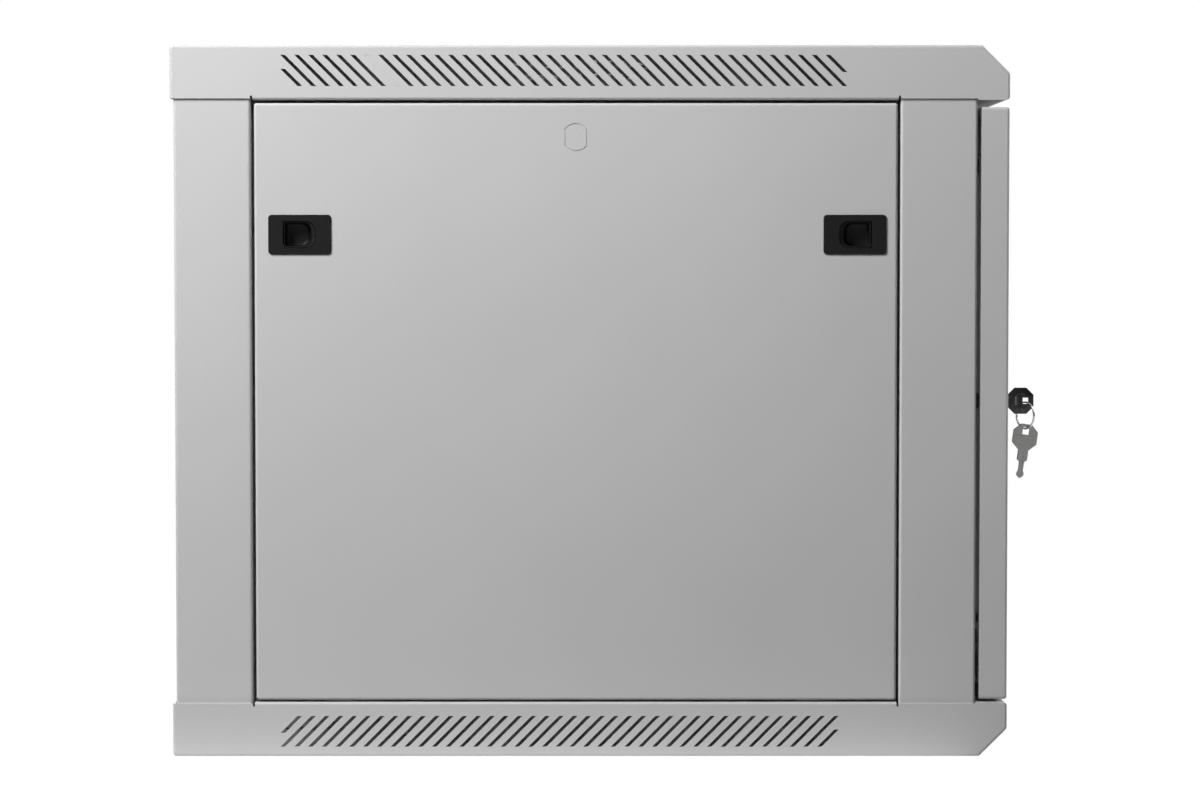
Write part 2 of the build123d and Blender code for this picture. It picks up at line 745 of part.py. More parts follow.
def make_bracket_fasteners():
    """Screws and nuts that hold the depth brackets to the posts."""
    places = bracket_screw_places(POST_FRONT, 1) + bracket_screw_places(POST_REAR, -1)
    grip = SHEET + RAIL_SHEET
    nut_height = BRACKET_SCREW * NUT_HEIGHT_RATIO
    with BuildPart() as screws:
        for y, z in places:
            with Locations(Location((-POST_OPENING, y, z), (0, -90, 0))):
                button_screw(BRACKET_SCREW, grip + nut_height + SHEET)
        mirror(about=Plane.YZ)
    with BuildPart() as nuts:
        for y, z in places:
            with Locations(Location((-POST_OPENING - grip, y, z), (0, -90, 0))):
                plain_nut(BRACKET_SCREW)
        mirror(about=Plane.YZ)
    return screws, nuts


def button_screw(size, length):
    """A button head screw at the current place, its shank along +Z from the head's seat."""
    head = size * HEAD_HEIGHT_RATIO
    Cylinder(size / 2, length, align=(Align.CENTER, Align.CENTER, Align.MIN))
    Cone(
        size * HEAD_RATIO / 4 + size / 4,
        size * HEAD_RATIO / 2,
        head,
        align=(Align.CENTER, Align.CENTER, Align.MAX),
    )


def plain_nut(size):
    """A hexagon nut at the current place, bored to its screw, standing along +Z."""
    height = size * NUT_HEIGHT_RATIO
    with BuildSketch(mode=Mode.PRIVATE) as outline:
        RegularPolygon(size * NUT_RATIO / 2, 6, major_radius=False)
        Circle(size / 2, mode=Mode.SUBTRACT)
    nut = extrude(outline.sketch, amount=height, mode=Mode.PRIVATE)
    add(nut)


def make_rail(is_left, is_front):
    """An upright with square holes, drawn front left; its face is towards the door."""
    face = FRONT_RAIL_Y if is_front else 2 * RAIL_MIDDLE - REAR_RAIL_Y
    points = (
        (-RAIL_INNER, face + RAIL_HEM),
        (-RAIL_INNER, face),
        (-BRACKET_X, face),
        (-BRACKET_X, face + RAIL_LEG),
    )
    strip = bent_sheet(points, RAIL_SHEET, Plane.XY, RAIL_HEIGHT, Side.RIGHT)
    with BuildPart() as rail:
        add(strip.part)
        with BuildSketch(mirror_plane_y(face)):
            with Locations(*[(-RACK_HOLE_X, z) for z in rack_hole_heights()]):
                Rectangle(RACK_HOLE, RACK_HOLE)
        extrude(amount=-RAIL_SHEET, mode=Mode.SUBTRACT)
        with BuildSketch(Plane.YZ.offset(-BRACKET_X)):
            with Locations(*[(face + RAIL_BOLT_BACK, s * BRACKET_Z) for s in (-1, 1)]):
                Circle(RAIL_BOLT / 2)
        extrude(amount=RAIL_SHEET, mode=Mode.SUBTRACT)
        if not is_front:
            mirror(about=mirror_plane_y(RAIL_MIDDLE), mode=Mode.REPLACE)
        if not is_left:
            mirror(about=Plane.YZ, mode=Mode.REPLACE)
    return rail


def rack_hole_heights():
    """Heights of the square holes: three in each rack unit."""
    bottom = -RACK_HEIGHT / 2
    middle = RACK_UNIT / 2
    in_unit = (RACK_HOLE_END, middle, RACK_UNIT - RACK_HOLE_END)
    return [bottom + RACK_UNIT * unit + rise for unit in range(RACK_UNITS) for rise in in_unit]


def make_rail_bolts(is_left, is_front):
    """Two bolts with their nuts, which clamp a rail to the depth brackets."""
    bolt_y = FRONT_RAIL_Y + RAIL_BOLT_BACK if is_front else REAR_RAIL_Y - RAIL_BOLT_BACK
    side = -1 if is_left else 1
    turn = (0, side * 90, 0)
    grip = 2 * RAIL_SHEET
    nut_height = RAIL_BOLT * NUT_HEIGHT_RATIO
    with BuildPart() as bolts:
        for z in (-BRACKET_Z, BRACKET_Z):
            with Locations(Location((side * (BRACKET_X - RAIL_SHEET), bolt_y, z), turn)):
                button_screw(RAIL_BOLT, grip + nut_height + SHEET)
    with BuildPart() as nuts:
        for z in (-BRACKET_Z, BRACKET_Z):
            with Locations(Location((side * (BRACKET_X + RAIL_SHEET), bolt_y, z), turn)):
                plain_nut(RAIL_BOLT)
    return bolts, nuts


# Side panels and latches


def latch_place(is_front):
    """Depth of a latch's outer end and the direction to the panel's middle."""
    if is_front:
        return PANEL_FRONT + LATCH_MARGIN_FRONT, 1
    return PANEL_REAR - LATCH_MARGIN_REAR, -1


def panel_block(inset):
    """The side panel's outer form, or the space inside its sheet."""
    middle_y = (PANEL_FRONT + PANEL_REAR) / 2
    middle_z = (PANEL_TOP + PANEL_BOTTOM) / 2
    with BuildPart() as block:
        with Locations((-POST_FACE + inset, middle_y, middle_z)):
            Box(
                PAN_DEPTH,
                PANEL_LENGTH - 2 * inset,
                PANEL_HEIGHT - 2 * inset,
                align=(Align.MIN, Align.CENTER, Align.CENTER),
            )
        open_side = block.faces().sort_by(Axis.X)[-1].edges()
        fillet(block.edges() - open_side, radius=BEND - inset)
    return block


def make_side_panel(is_left):
    """A folded pan with latch holes, a lock knock-out and two bottom tabs."""
    middle_y = (PANEL_FRONT + PANEL_REAR) / 2
    outer = panel_block(0)
    inner = panel_block(PANEL_SHEET)
    with BuildPart() as panel:
        add(outer.part)
        add(inner.part, mode=Mode.SUBTRACT)
        # Holes for the latch bodies
        hole_length = LATCH_BODY_LENGTH + 2 * LATCH_FIT
        hole_height = LATCH_BODY_HEIGHT + 2 * LATCH_FIT
        with BuildSketch(Plane.YZ.offset(-POST_FACE)):
            for is_front in (False, True):
                end, inward = latch_place(is_front)
                hole_middle = end + inward * (LATCH_BODY_START + LATCH_BODY_LENGTH / 2)
                with Locations((hole_middle, LATCH_Z)):
                    Rectangle(hole_length, hole_height)
        extrude(amount=PANEL_SHEET, mode=Mode.SUBTRACT)
        # Knock-out outline for a lock with two flats
        with BuildSketch(Plane.YZ.offset(-POST_FACE)):
            with Locations((middle_y, PANEL_TOP - KNOCKOUT_DOWN)):
                double_d(KNOCKOUT_HEIGHT, KNOCKOUT_WIDTH)
                double_d(
                    KNOCKOUT_HEIGHT - 2 * KNOCKOUT_LINE,
                    KNOCKOUT_WIDTH - 2 * KNOCKOUT_LINE,
                    Mode.SUBTRACT,
                )
        extrude(amount=KNOCKOUT_DEPTH, mode=Mode.SUBTRACT)
        # Tabs that stand in the bottom cover's lip
        with Locations(*[(-POST_FACE + TAB_X, y, PANEL_BOTTOM) for y in tab_places()]):
            Box(
                PANEL_SHEET,
                TAB_WIDTH,
                TAB_DROP + PANEL_GAP_BOTTOM,
                align=(Align.MIN, Align.CENTER, Align.MAX),
            )
        if not is_left:
            mirror(about=Plane.YZ, mode=Mode.REPLACE)
    return panel


def double_d(diameter, flats, mode=Mode.ADD):
    """A circle with two upright flats, at the current places of a sketch."""
    with BuildSketch(mode=Mode.PRIVATE) as shape:
        Circle(diameter / 2)
        Rectangle(flats, diameter, mode=Mode.INTERSECT)
    add(shape.sketch, mode=mode)


def finger_window(length, height, start, inward, end, level):
    """The latch's finger opening: square at its outer end, round towards the panel."""
    with BuildSketch(Plane.YZ.offset(level)) as window:
        with Locations((end + inward * (start + length / 2), LATCH_Z)):
            Rectangle(length, height)
        ends = window.vertices().group_by(Axis.X)
        outer, inner = (ends[0], ends[-1]) if inward > 0 else (ends[-1], ends[0])
        fillet(inner, radius=LATCH_WINDOW_ROUND)
        fillet(outer, radius=LATCH_WINDOW_SMALL)
    return window.sketch


def along(end, inward, start, length, x0, x1, height):
    """A block in a latch: from start for length, between two depths behind the skin."""
    with Locations((-POST_FACE + x0, end + inward * (start + length / 2), LATCH_Z)):
        Box(x1 - x0, length, height, align=(Align.MIN, Align.CENTER, Align.CENTER))


def make_latch_housing(is_left, is_front):
    """The latch's bezel and open-backed body, clipped into the panel."""
    end, inward = latch_place(is_front)
    window = finger_window(
        LATCH_WINDOW_LENGTH,
        LATCH_WINDOW_HEIGHT,
        LATCH_WINDOW_START,
        inward,
        end,
        -POST_FACE - LATCH_PROUD,
    )
    body_middle = end + inward * (LATCH_BODY_START + LATCH_BODY_LENGTH / 2)
    with BuildPart() as housing:
        with BuildSketch(Plane.YZ.offset(-POST_FACE)):
            with Locations((end + inward * LATCH_LENGTH / 2, LATCH_Z)):
                RectangleRounded(LATCH_LENGTH, LATCH_HEIGHT, LATCH_CORNER)
        extrude(amount=-LATCH_PROUD)
        outer_face = housing.faces().sort_by(Axis.X)[0]
        fillet(outer_face.edges(), radius=LATCH_EDGE)
        with BuildSketch(Plane.YZ.offset(-POST_FACE)):
            with Locations((body_middle, LATCH_Z)):
                Rectangle(LATCH_BODY_LENGTH, LATCH_BODY_HEIGHT)
                Rectangle(
                    LATCH_BODY_LENGTH - 2 * LATCH_WALL,
                    LATCH_BODY_HEIGHT - 2 * LATCH_WALL,
                    mode=Mode.SUBTRACT,
                )
        extrude(amount=LATCH_BODY_DEPTH)
        # Snap ramps above and below, behind the panel skin
        with BuildSketch(mirror_plane_y(body_middle)):
            for side in (-1, 1):
                with BuildLine():
                    Polyline(
                        (-POST_FACE + PANEL_SHEET, LATCH_Z + side * LATCH_BODY_HEIGHT / 2),
                        (
                            -POST_FACE + PANEL_SHEET,
                            LATCH_Z + side * (LATCH_BODY_HEIGHT / 2 + LATCH_SNAP),
                        ),
                        (
                            -POST_FACE + PANEL_SHEET + 3 * LATCH_SNAP,
                            LATCH_Z + side * LATCH_BODY_HEIGHT / 2,
                        ),
                        close=True,
                    )
                make_face()
        extrude(amount=SNAP_LENGTH / 2, both=True)
        extrude(window, amount=LATCH_PROUD, mode=Mode.SUBTRACT)
        if not is_left:
            mirror(about=Plane.YZ, mode=Mode.REPLACE)
    return housing


def make_latch_slider(is_left, is_front):
    """The finger cup with its neck and tongue, drawn back so that the panel is free."""
    end, inward = latch_place(is_front)
    block_start = LATCH_WINDOW_START + LATCH_EDGE
    block_end = LATCH_BODY_START + LATCH_BODY_LENGTH - LATCH_WALL - LATCH_FIT
    block_height = LATCH_BODY_HEIGHT - 2 * LATCH_WALL - 2 * LATCH_FIT
    back = LATCH_BODY_DEPTH
    tongue_front = PAN_DEPTH + SHEET + TONGUE_BEHIND
    neck_start = block_start + CUP_WALL
    cup = finger_window(
        LATCH_WINDOW_LENGTH - 2 * CUP_WALL,
        LATCH_WINDOW_HEIGHT - 2 * CUP_WALL,
        LATCH_WINDOW_START + CUP_WALL + LATCH_EDGE / 2,
        inward,
        end,
        -POST_FACE + LATCH_FIT,
    )
    with BuildPart() as slider:
        along(end, inward, block_start, block_end - block_start, LATCH_FIT, back, block_height)
        extrude(cup, amount=back - LATCH_FIT - CUP_FLOOR, mode=Mode.SUBTRACT)
        along(end, inward, neck_start, NECK_LENGTH, back, tongue_front, TONGUE_HEIGHT)
        along(
            end,
            inward,
            TONGUE_TIP,
            neck_start + NECK_LENGTH - TONGUE_TIP,
            tongue_front,
            tongue_front + TONGUE_THICKNESS,
            TONGUE_HEIGHT,
        )
        if not is_left:
            mirror(about=Plane.YZ, mode=Mode.REPLACE)
    return slider


# Door


def door_block(inset):
    """The door's outer form, or the space inside its sheet."""
    with BuildPart() as block:
        with Locations((0, FRONT + inset, DOOR_MIDDLE)):
            Box(
                2 * (DOOR_HALF - inset),
                DOOR_DEPTH,
                DOOR_HEIGHT - 2 * inset,
                align=(Align.CENTER, Align.MIN, Align.CENTER),
            )
        open_side = block.faces().sort_by(Axis.Y)[-1].edges()
        fillet(block.edges() - open_side, radius=BEND - inset)
    return block


def make_door_frame():
    """A folded door pan with a window, hems at its back and studs for the glass strips."""
    outer = door_block(0)
    inner = door_block(SHEET)
    with BuildPart() as door:
        add(outer.part)
        add(inner.part, mode=Mode.SUBTRACT)
        # Hems at the back, stopped short of the hinge pins
        with BuildSketch(mirror_plane_y(DOOR_BACK - SHEET)):
            with Locations((0, DOOR_MIDDLE)):
                Rectangle(2 * (DOOR_HALF - SHEET), DOOR_HEIGHT - 2 * SHEET)
                Rectangle(
                    2 * (DOOR_HALF - SHEET - DOOR_LIP),
                    DOOR_HEIGHT - 2 * (SHEET + DOOR_LIP),
                    mode=Mode.SUBTRACT,
                )
        extrude(amount=-SHEET)
        # Window in the front
        with BuildSketch(mirror_plane_y(FRONT)):
            with Locations((0, DOOR_MIDDLE)):
                RectangleRounded(WINDOW_WIDTH, WINDOW_HEIGHT, WINDOW_RADIUS)
            with Locations((LOCK_X, 0)):
                double_d(LOCK_DIAMETER + 2 * LOCK_HOLE_FIT, LOCK_FLATS + 2 * LOCK_HOLE_FIT)
        extrude(amount=-SHEET, mode=Mode.SUBTRACT)
        # Holes for the bush and the spring pin
        with BuildSketch(Plane.XY.offset(DOOR_BOTTOM)):
            with Locations((PIN_X, PIN_Y)):
                Circle(BUSH / 2)
        extrude(amount=SHEET, mode=Mode.SUBTRACT)
        with BuildSketch(Plane.XY.offset(DOOR_TOP)):
            with Locations((PIN_X, PIN_Y)):
                Circle(PIN / 2 + PIN_FIT)
        extrude(amount=-SHEET, mode=Mode.SUBTRACT)
        # Welded studs
        with BuildSketch(mirror_plane_y(FRONT + SHEET)):
            with Locations(*stud_places()):
                Circle(STUD / 2)
        extrude(amount=-STUD_LENGTH)
    return door


def strip_lines():
    """Distances from the window's middle to the studs beside and above it."""
    out = RETAINER_FOOT / 2 + SHEET + TOUCH_GAP
    return GLASS_WIDTH / 2 + out, GLASS_HEIGHT / 2 + out


def stud_places():
    """Centres of the studs on the door's inner face, in a ring around the glass."""
    side, above = strip_lines()
    spread = (STUDS_PER_STRIP - 1) / 2
    step_x = WINDOW_WIDTH / STUDS_PER_STRIP
    step_z = WINDOW_HEIGHT / STUDS_PER_STRIP
    rows = [(i - spread) for i in range(STUDS_PER_STRIP)]
    flat = [(i * step_x, DOOR_MIDDLE + s * above) for i in rows for s in (-1, 1)]
    upright = [(s * side, DOOR_MIDDLE + i * step_z) for i in rows for s in (-1, 1)]
    return flat + upright


def make_door_glass():
    """The tempered pane behind the window."""
    with BuildPart() as glass:
        with BuildSketch(mirror_plane_y(GLASS_FRONT)):
            with Locations((0, DOOR_MIDDLE)):
                RectangleRounded(GLASS_WIDTH, GLASS_HEIGHT, BEND)
        extrude(amount=-GLASS)
    return glass


def make_gasket():
    """A flat rubber frame between the door and its pane."""
    with BuildPart() as gasket:
        with BuildSketch(mirror_plane_y(FRONT + SHEET)):
            with Locations((0, DOOR_MIDDLE)):
                RectangleRounded(
                    WINDOW_WIDTH + 2 * GASKET_WIDTH, WINDOW_HEIGHT + 2 * GASKET_WIDTH, BEND
                )
                RectangleRounded(
                    WINDOW_WIDTH, WINDOW_HEIGHT, WINDOW_RADIUS, mode=Mode.SUBTRACT
                )
        extrude(amount=-GASKET)
    return gasket


def retainer_section(edge):
    """Points of a strip's stepped section: foot on the door, lap on the pane."""
    back = GLASS_FRONT + GLASS
    inner = FRONT + SHEET
    return (
        (edge - RETAINER_LAP, back + SHEET),
        (edge - RETAINER_LAP, back),
        (edge + TOUCH_GAP, back),
        (edge + TOUCH_GAP, inner),
        (edge + TOUCH_GAP + SHEET + RETAINER_FOOT, inner),
        (edge + TOUCH_GAP + SHEET + RETAINER_FOOT, inner + SHEET),
        (edge + TOUCH_GAP + SHEET, inner + SHEET),
        (edge + TOUCH_GAP + SHEET, back + SHEET),
    )


def make_retainers():
    """Four stepped strips that press the pane on its gasket."""
    upright = GLASS_HEIGHT - 2 * RETAINER_END_GAP
    level = GLASS_WIDTH - 2 * (RETAINER_LAP + RETAINER_END_GAP)
    side_points = retainer_section(GLASS_WIDTH / 2)
    top_points = [(y, z) for z, y in retainer_section(GLASS_HEIGHT / 2)]
    with BuildPart() as strips:
        with BuildSketch(Plane.XY.offset(DOOR_MIDDLE)):
            with BuildLine():
                Polyline(*side_points, close=True)
            make_face()
        extrude(amount=upright / 2, both=True)
        mirror(about=Plane.YZ)
    with BuildPart() as caps:
        with BuildSketch(Plane.YZ):
            with BuildLine():
                Polyline(*top_points, close=True)
            make_face()
        extrude(amount=level / 2, both=True)
        mirror(about=Plane.XY)
    with BuildPart() as retainers:
        add(strips.part)
        with Locations((0, 0, DOOR_MIDDLE)):
            add(caps.part)
        with BuildSketch(mirror_plane_y(FRONT + SHEET)):
            with Locations(*stud_places()):
                Circle(STUD / 2)
        extrude(amount=-STUD_LENGTH, mode=Mode.SUBTRACT)
    return retainers


def make_retainer_nuts():
    """Nuts on the door's studs."""
    with BuildPart() as nuts:
        for x, z in stud_places():
            with Locations(Location((x, FRONT + 2 * SHEET, z), (-90, 0, 0))):
                plain_nut(STUD)
    return nuts


def make_bumpers():
    """Rubber pads on the front posts that the door closes on."""
    x = POST_FACE - BUMPER_SIDE
    with BuildPart() as pads:
        with BuildSketch(mirror_plane_y(POST_FRONT)):
            with GridLocations(2 * x, 2 * BUMPER_Z, 2, 2):
                Circle(BUMPER / 2)
        extrude(amount=DOOR_GAP_BACK - TOUCH_GAP)
    return pads


# Hinge


def at_pin(z):
    """The point on the door's axis at this height."""
    return (PIN_X, PIN_Y, z)


def make_lower_pin():
    """The fixed pin in the bottom cover's lip, with its head under the lip."""
    lip_bottom = -FLANGE_EDGE - SHEET
    with BuildPart() as pin:
        with Locations(at_pin(lip_bottom)):
            Cylinder(
                PIN_HEAD / 2, PIN_HEAD_HEIGHT, align=(Align.CENTER, Align.CENTER, Align.MAX)
            )
            Cylinder(
                PIN / 2,
                SHEET + DOOR_GAP_BOTTOM + LOWER_PIN_RISE,
                align=(Align.CENTER, Align.CENTER, Align.MIN),
            )
        chamfer(pin.faces().sort_by(Axis.Z)[-1].edges(), length=PIN_CHAMFER)
    return pin


def make_washer():
    """The slide washer that carries the door's weight."""
    with BuildPart() as washer:
        with BuildSketch(Plane.XY.offset(-FLANGE_EDGE)):
            with Locations((PIN_X, PIN_Y)):
                Circle(WASHER / 2)
                Circle(PIN / 2 + PIN_FIT, mode=Mode.SUBTRACT)
        extrude(amount=DOOR_GAP_BOTTOM)
    return washer


def make_lower_bush():
    """The bush in the door's bottom edge."""
    with BuildPart() as bush:
        with BuildSketch(Plane.XY.offset(DOOR_BOTTOM)):
            with Locations((PIN_X, PIN_Y)):
                Circle(BUSH / 2)
                Circle(PIN / 2 + PIN_FIT, mode=Mode.SUBTRACT)
        extrude(amount=BUSH_HEIGHT)
    return bush


def collar_top():
    """Height of the top of the spring pin's collar."""
    return DOOR_TOP - SHEET - COLLAR_DOWN


def make_upper_pin():
    """The spring pin, with a collar for the spring and a bent finger lever."""
    tip = FLANGE_EDGE + SHEET + UPPER_PIN_RISE
    bottom = collar_top() - COLLAR_HEIGHT - SPRING_LENGTH - SHEET - PIN_TAIL
    with BuildPart() as pin:
        with Locations(at_pin(bottom)):
            Cylinder(PIN / 2, tip - bottom, align=(Align.CENTER, Align.CENTER, Align.MIN))
        chamfer(pin.faces().sort_by(Axis.Z)[-1].edges(), length=PIN_CHAMFER)
        with Locations(at_pin(collar_top())):
            Cylinder(COLLAR / 2, COLLAR_HEIGHT, align=(Align.CENTER, Align.CENTER, Align.MAX))
        with Locations(Location(at_pin(bottom + PIN / 2), (0, -90, 0))):
            Cylinder(
                PIN / 2 - PIN_FIT * 2,
                PIN_LEVER,
                align=(Align.CENTER, Align.CENTER, Align.MIN),
            )
    return pin


def make_upper_guide():
    """An angle on the door's side wall that guides the pin and seats its spring."""
    seat = collar_top() - COLLAR_HEIGHT - SPRING_LENGTH
    wall = DOOR_HALF - SHEET
    with BuildPart() as guide:
        with BuildSketch(mirror_plane_y(PIN_Y)):
            with BuildLine():
                Polyline(
                    (wall, seat + SPRING_LENGTH),
                    (wall - SHEET / 2, seat + SPRING_LENGTH),
                    (wall - SHEET / 2, seat),
                    (PIN_X - COLLAR / 2, seat),
                    (PIN_X - COLLAR / 2, seat - SHEET),
                    (wall, seat - SHEET),
                    close=True,
                )
            make_face()
        extrude(amount=COLLAR / 2, both=True)
        with BuildSketch(Plane.XY.offset(seat)):
            with Locations((PIN_X, PIN_Y)):
                Circle(PIN / 2 + PIN_FIT)
        extrude(amount=-SHEET, mode=Mode.SUBTRACT)
    return guide


def make_spring():
    """The wire spring between the guide and the pin's collar."""
    seat = collar_top() - COLLAR_HEIGHT - SPRING_LENGTH
    radius = (SPRING_DIAMETER - SPRING_WIRE) / 2
    height = SPRING_LENGTH - SPRING_WIRE
    with BuildPart() as spring:
        with BuildLine() as coil:
            Helix(height / SPRING_TURNS, height, radius)
        with BuildSketch(Plane(origin=coil.line @ 0, z_dir=coil.line % 0)):
            RegularPolygon(SPRING_WIRE / 2, SPRING_SIDES)
        sweep(is_frenet=True)
    with BuildPart() as placed:
        with Locations(at_pin(seat + SPRING_WIRE / 2)):
            add(spring.part)
    return placed


# Lock and keys


def make_lock_housing():
    """The threaded lock body with its flange and bore."""
    with BuildPart() as housing:
        with BuildSketch(mirror_plane_y(FRONT)):
            with Locations((LOCK_X, 0)):
                Circle(LOCK_FLANGE / 2)
        extrude(amount=LOCK_FLANGE_HEIGHT)
        rim = housing.faces().sort_by(Axis.Y)[0]
        fillet(rim.edges(), radius=LOCK_EDGE)
        with BuildSketch(mirror_plane_y(FRONT)):
            with Locations((LOCK_X, 0)):
                double_d(LOCK_DIAMETER, LOCK_FLATS)
        extrude(amount=-LOCK_LENGTH)
        with Locations(Location((LOCK_X, FRONT, 0), (90, 0, 0))):
            Cylinder(BARREL / 2 + BARREL_FIT, 3 * LOCK_LENGTH, mode=Mode.SUBTRACT)
    return housing


def make_lock_nut():
    """The flat nut behind the door's front sheet."""
    with BuildPart() as nut:
        with BuildSketch(mirror_plane_y(FRONT + SHEET)):
            with Locations((LOCK_X, 0)):
                RegularPolygon(LOCK_NUT_FLATS / 2, 6, major_radius=False)
                double_d(LOCK_DIAMETER, LOCK_FLATS, Mode.SUBTRACT)
        extrude(amount=-LOCK_NUT_HEIGHT)
    return nut


def make_lock_barrel():
    """The turning plug with its keyway, square tail and screw hole."""
    body_end = FRONT + LOCK_LENGTH + BARREL_PAST
    with BuildPart() as barrel:
        with BuildSketch(mirror_plane_y(BARREL_FACE)):
            with Locations((LOCK_X, 0)):
                Circle(BARREL / 2)
        extrude(amount=-(body_end - BARREL_FACE))
        with BuildSketch(mirror_plane_y(body_end)):
            with Locations((LOCK_X, 0)):
                Circle(BARREL_TAIL / 2)
        extrude(amount=-(CAM_Y - body_end))
        with BuildSketch(mirror_plane_y(CAM_Y)):
            with Locations((LOCK_X, 0)):
                Rectangle(CAM_SQUARE, CAM_SQUARE)
        extrude(amount=-CAM_THICKNESS)
        with BuildSketch(mirror_plane_y(BARREL_FACE)):
            with Locations((LOCK_X, 0)):
                Rectangle(KEY_THICKNESS + 2 * KEY_FIT, KEY_WIDTH + 2 * KEY_FIT)
        extrude(amount=-(KEY_REACH - KEY_HEAD_GAP + KEYWAY_SPARE), mode=Mode.SUBTRACT)
        with BuildSketch(mirror_plane_y(CAM_Y + CAM_THICKNESS)):
            with Locations((LOCK_X, 0)):
                Circle(CAM_SCREW / 2)
        extrude(amount=CAM_SCREW_LENGTH, mode=Mode.SUBTRACT)
    return barrel


def make_lock_cam():
    """The flat cam, hanging down while the lock is open."""
    reach = CAM_REACH - CAM_WIDTH / 2
    with BuildPart() as cam:
        with BuildSketch(mirror_plane_y(CAM_Y)):
            with Locations((LOCK_X, 0)):
                Circle(CAM_WIDTH / 2)
            with Locations((LOCK_X, -reach / 2)):
                Rectangle(CAM_WIDTH, reach)
            with Locations((LOCK_X, -reach)):
                Circle(CAM_WIDTH / 2)
            with Locations((LOCK_X, 0)):
                Rectangle(CAM_SQUARE, CAM_SQUARE, mode=Mode.SUBTRACT)
        extrude(amount=-CAM_THICKNESS)
    return cam


def make_cam_screw():
    """The screw that holds the cam on the barrel."""
    with BuildPart() as screw:
        with BuildSketch(mirror_plane_y(CAM_Y + CAM_THICKNESS)):
            with Locations((LOCK_X, 0)):
                Circle(CAM_SCREW_HEAD / 2)
        extrude(amount=-CAM_THICKNESS)
        fillet(screw.faces().sort_by(Axis.Y)[-1].edges(), radius=LOCK_EDGE)
        with BuildSketch(mirror_plane_y(CAM_Y + CAM_THICKNESS)):
            with Locations((LOCK_X, 0)):
                Circle(CAM_SCREW / 2)
        extrude(amount=CAM_SCREW_LENGTH)
    return screw


def make_key_blade():
    """The blade of the key in the lock, with a tang inside its head."""
    start = KEY_HEAD_BASE - KEY_TANG
    stop = KEY_HEAD_BASE + KEY_REACH
    with BuildPart() as blade:
        with BuildSketch(Plane.YZ.offset(LOCK_X)):
            with BuildLine():
                Polyline(
                    (start, -KEY_WIDTH / 2),
                    (stop - KEY_WIDTH / 2, -KEY_WIDTH / 2),
                    (stop, 0),
                    (stop - KEY_WIDTH / 2, KEY_WIDTH / 2),
                    (start, KEY_WIDTH / 2),
                    close=True,
                )
            make_face()
        extrude(amount=KEY_THICKNESS / 2, both=True)
        with BuildSketch(Plane.YZ.offset(LOCK_X - KEY_THICKNESS / 2)):
            with Locations(((KEY_HEAD_BASE + stop) / 2, 0)):
                Rectangle(stop - KEY_HEAD_BASE, KEY_GROOVE)
        extrude(amount=KEY_GROOVE_DEPTH, mode=Mode.SUBTRACT)
    return blade


def make_key_head():
    """The eight-sided moulded head with its ring hole and framed grip pad."""
    middle_y = (KEY_HEAD_BASE + KEY_HEAD_END) / 2
    pad_y = KEY_HEAD_BASE - KEY_PAD_FROM_BASE
    with BuildPart() as head:
        with BuildSketch(Plane.YZ.offset(LOCK_X)) as outline:
            with Locations((middle_y, 0)):
                Rectangle(KEY_HEAD_LENGTH, KEY_HEAD_HEIGHT)
            chamfer(outline.vertices(), length=KEY_HEAD_CORNER)
            with Locations((KEY_HOLE_Y, 0)):
                Rectangle(KEY_HOLE_LENGTH, KEY_HOLE_HEIGHT, mode=Mode.SUBTRACT)
        extrude(amount=KEY_HEAD_THICKNESS / 2, both=True)
        for side in (-1, 1):
            with BuildSketch(Plane.YZ.offset(LOCK_X + side * KEY_HEAD_THICKNESS / 2)):
                with Locations((pad_y, 0)):
                    Rectangle(KEY_PAD_LENGTH, KEY_PAD_HEIGHT)
                    Rectangle(
                        KEY_PAD_LENGTH - 2 * KEY_PAD_LINE,
                        KEY_PAD_HEIGHT - 2 * KEY_PAD_LINE,
                        mode=Mode.SUBTRACT,
                    )
            extrude(amount=-side * KEY_PAD_DEPTH, mode=Mode.SUBTRACT)
        with Locations((LOCK_X, KEY_HEAD_BASE, 0)):
            Box(
                KEY_THICKNESS,
                KEY_TANG,
                KEY_WIDTH,
                align=(Align.CENTER, Align.MAX, Align.CENTER),
                mode=Mode.SUBTRACT,
            )
    return head


def make_key_ring():
    """The ring through both keys, turned out of the key head's plane."""
    with BuildPart() as ring:
        Torus(RING_RADIUS, RING_WIRE / 2)
    with BuildPart() as placed:
        with Locations(
            Location((LOCK_X, KEY_HOLE_Y, RING_TOP - RING_RADIUS), (90, RING_TURN, 0))
        ):
            add(ring.part)
    return placed


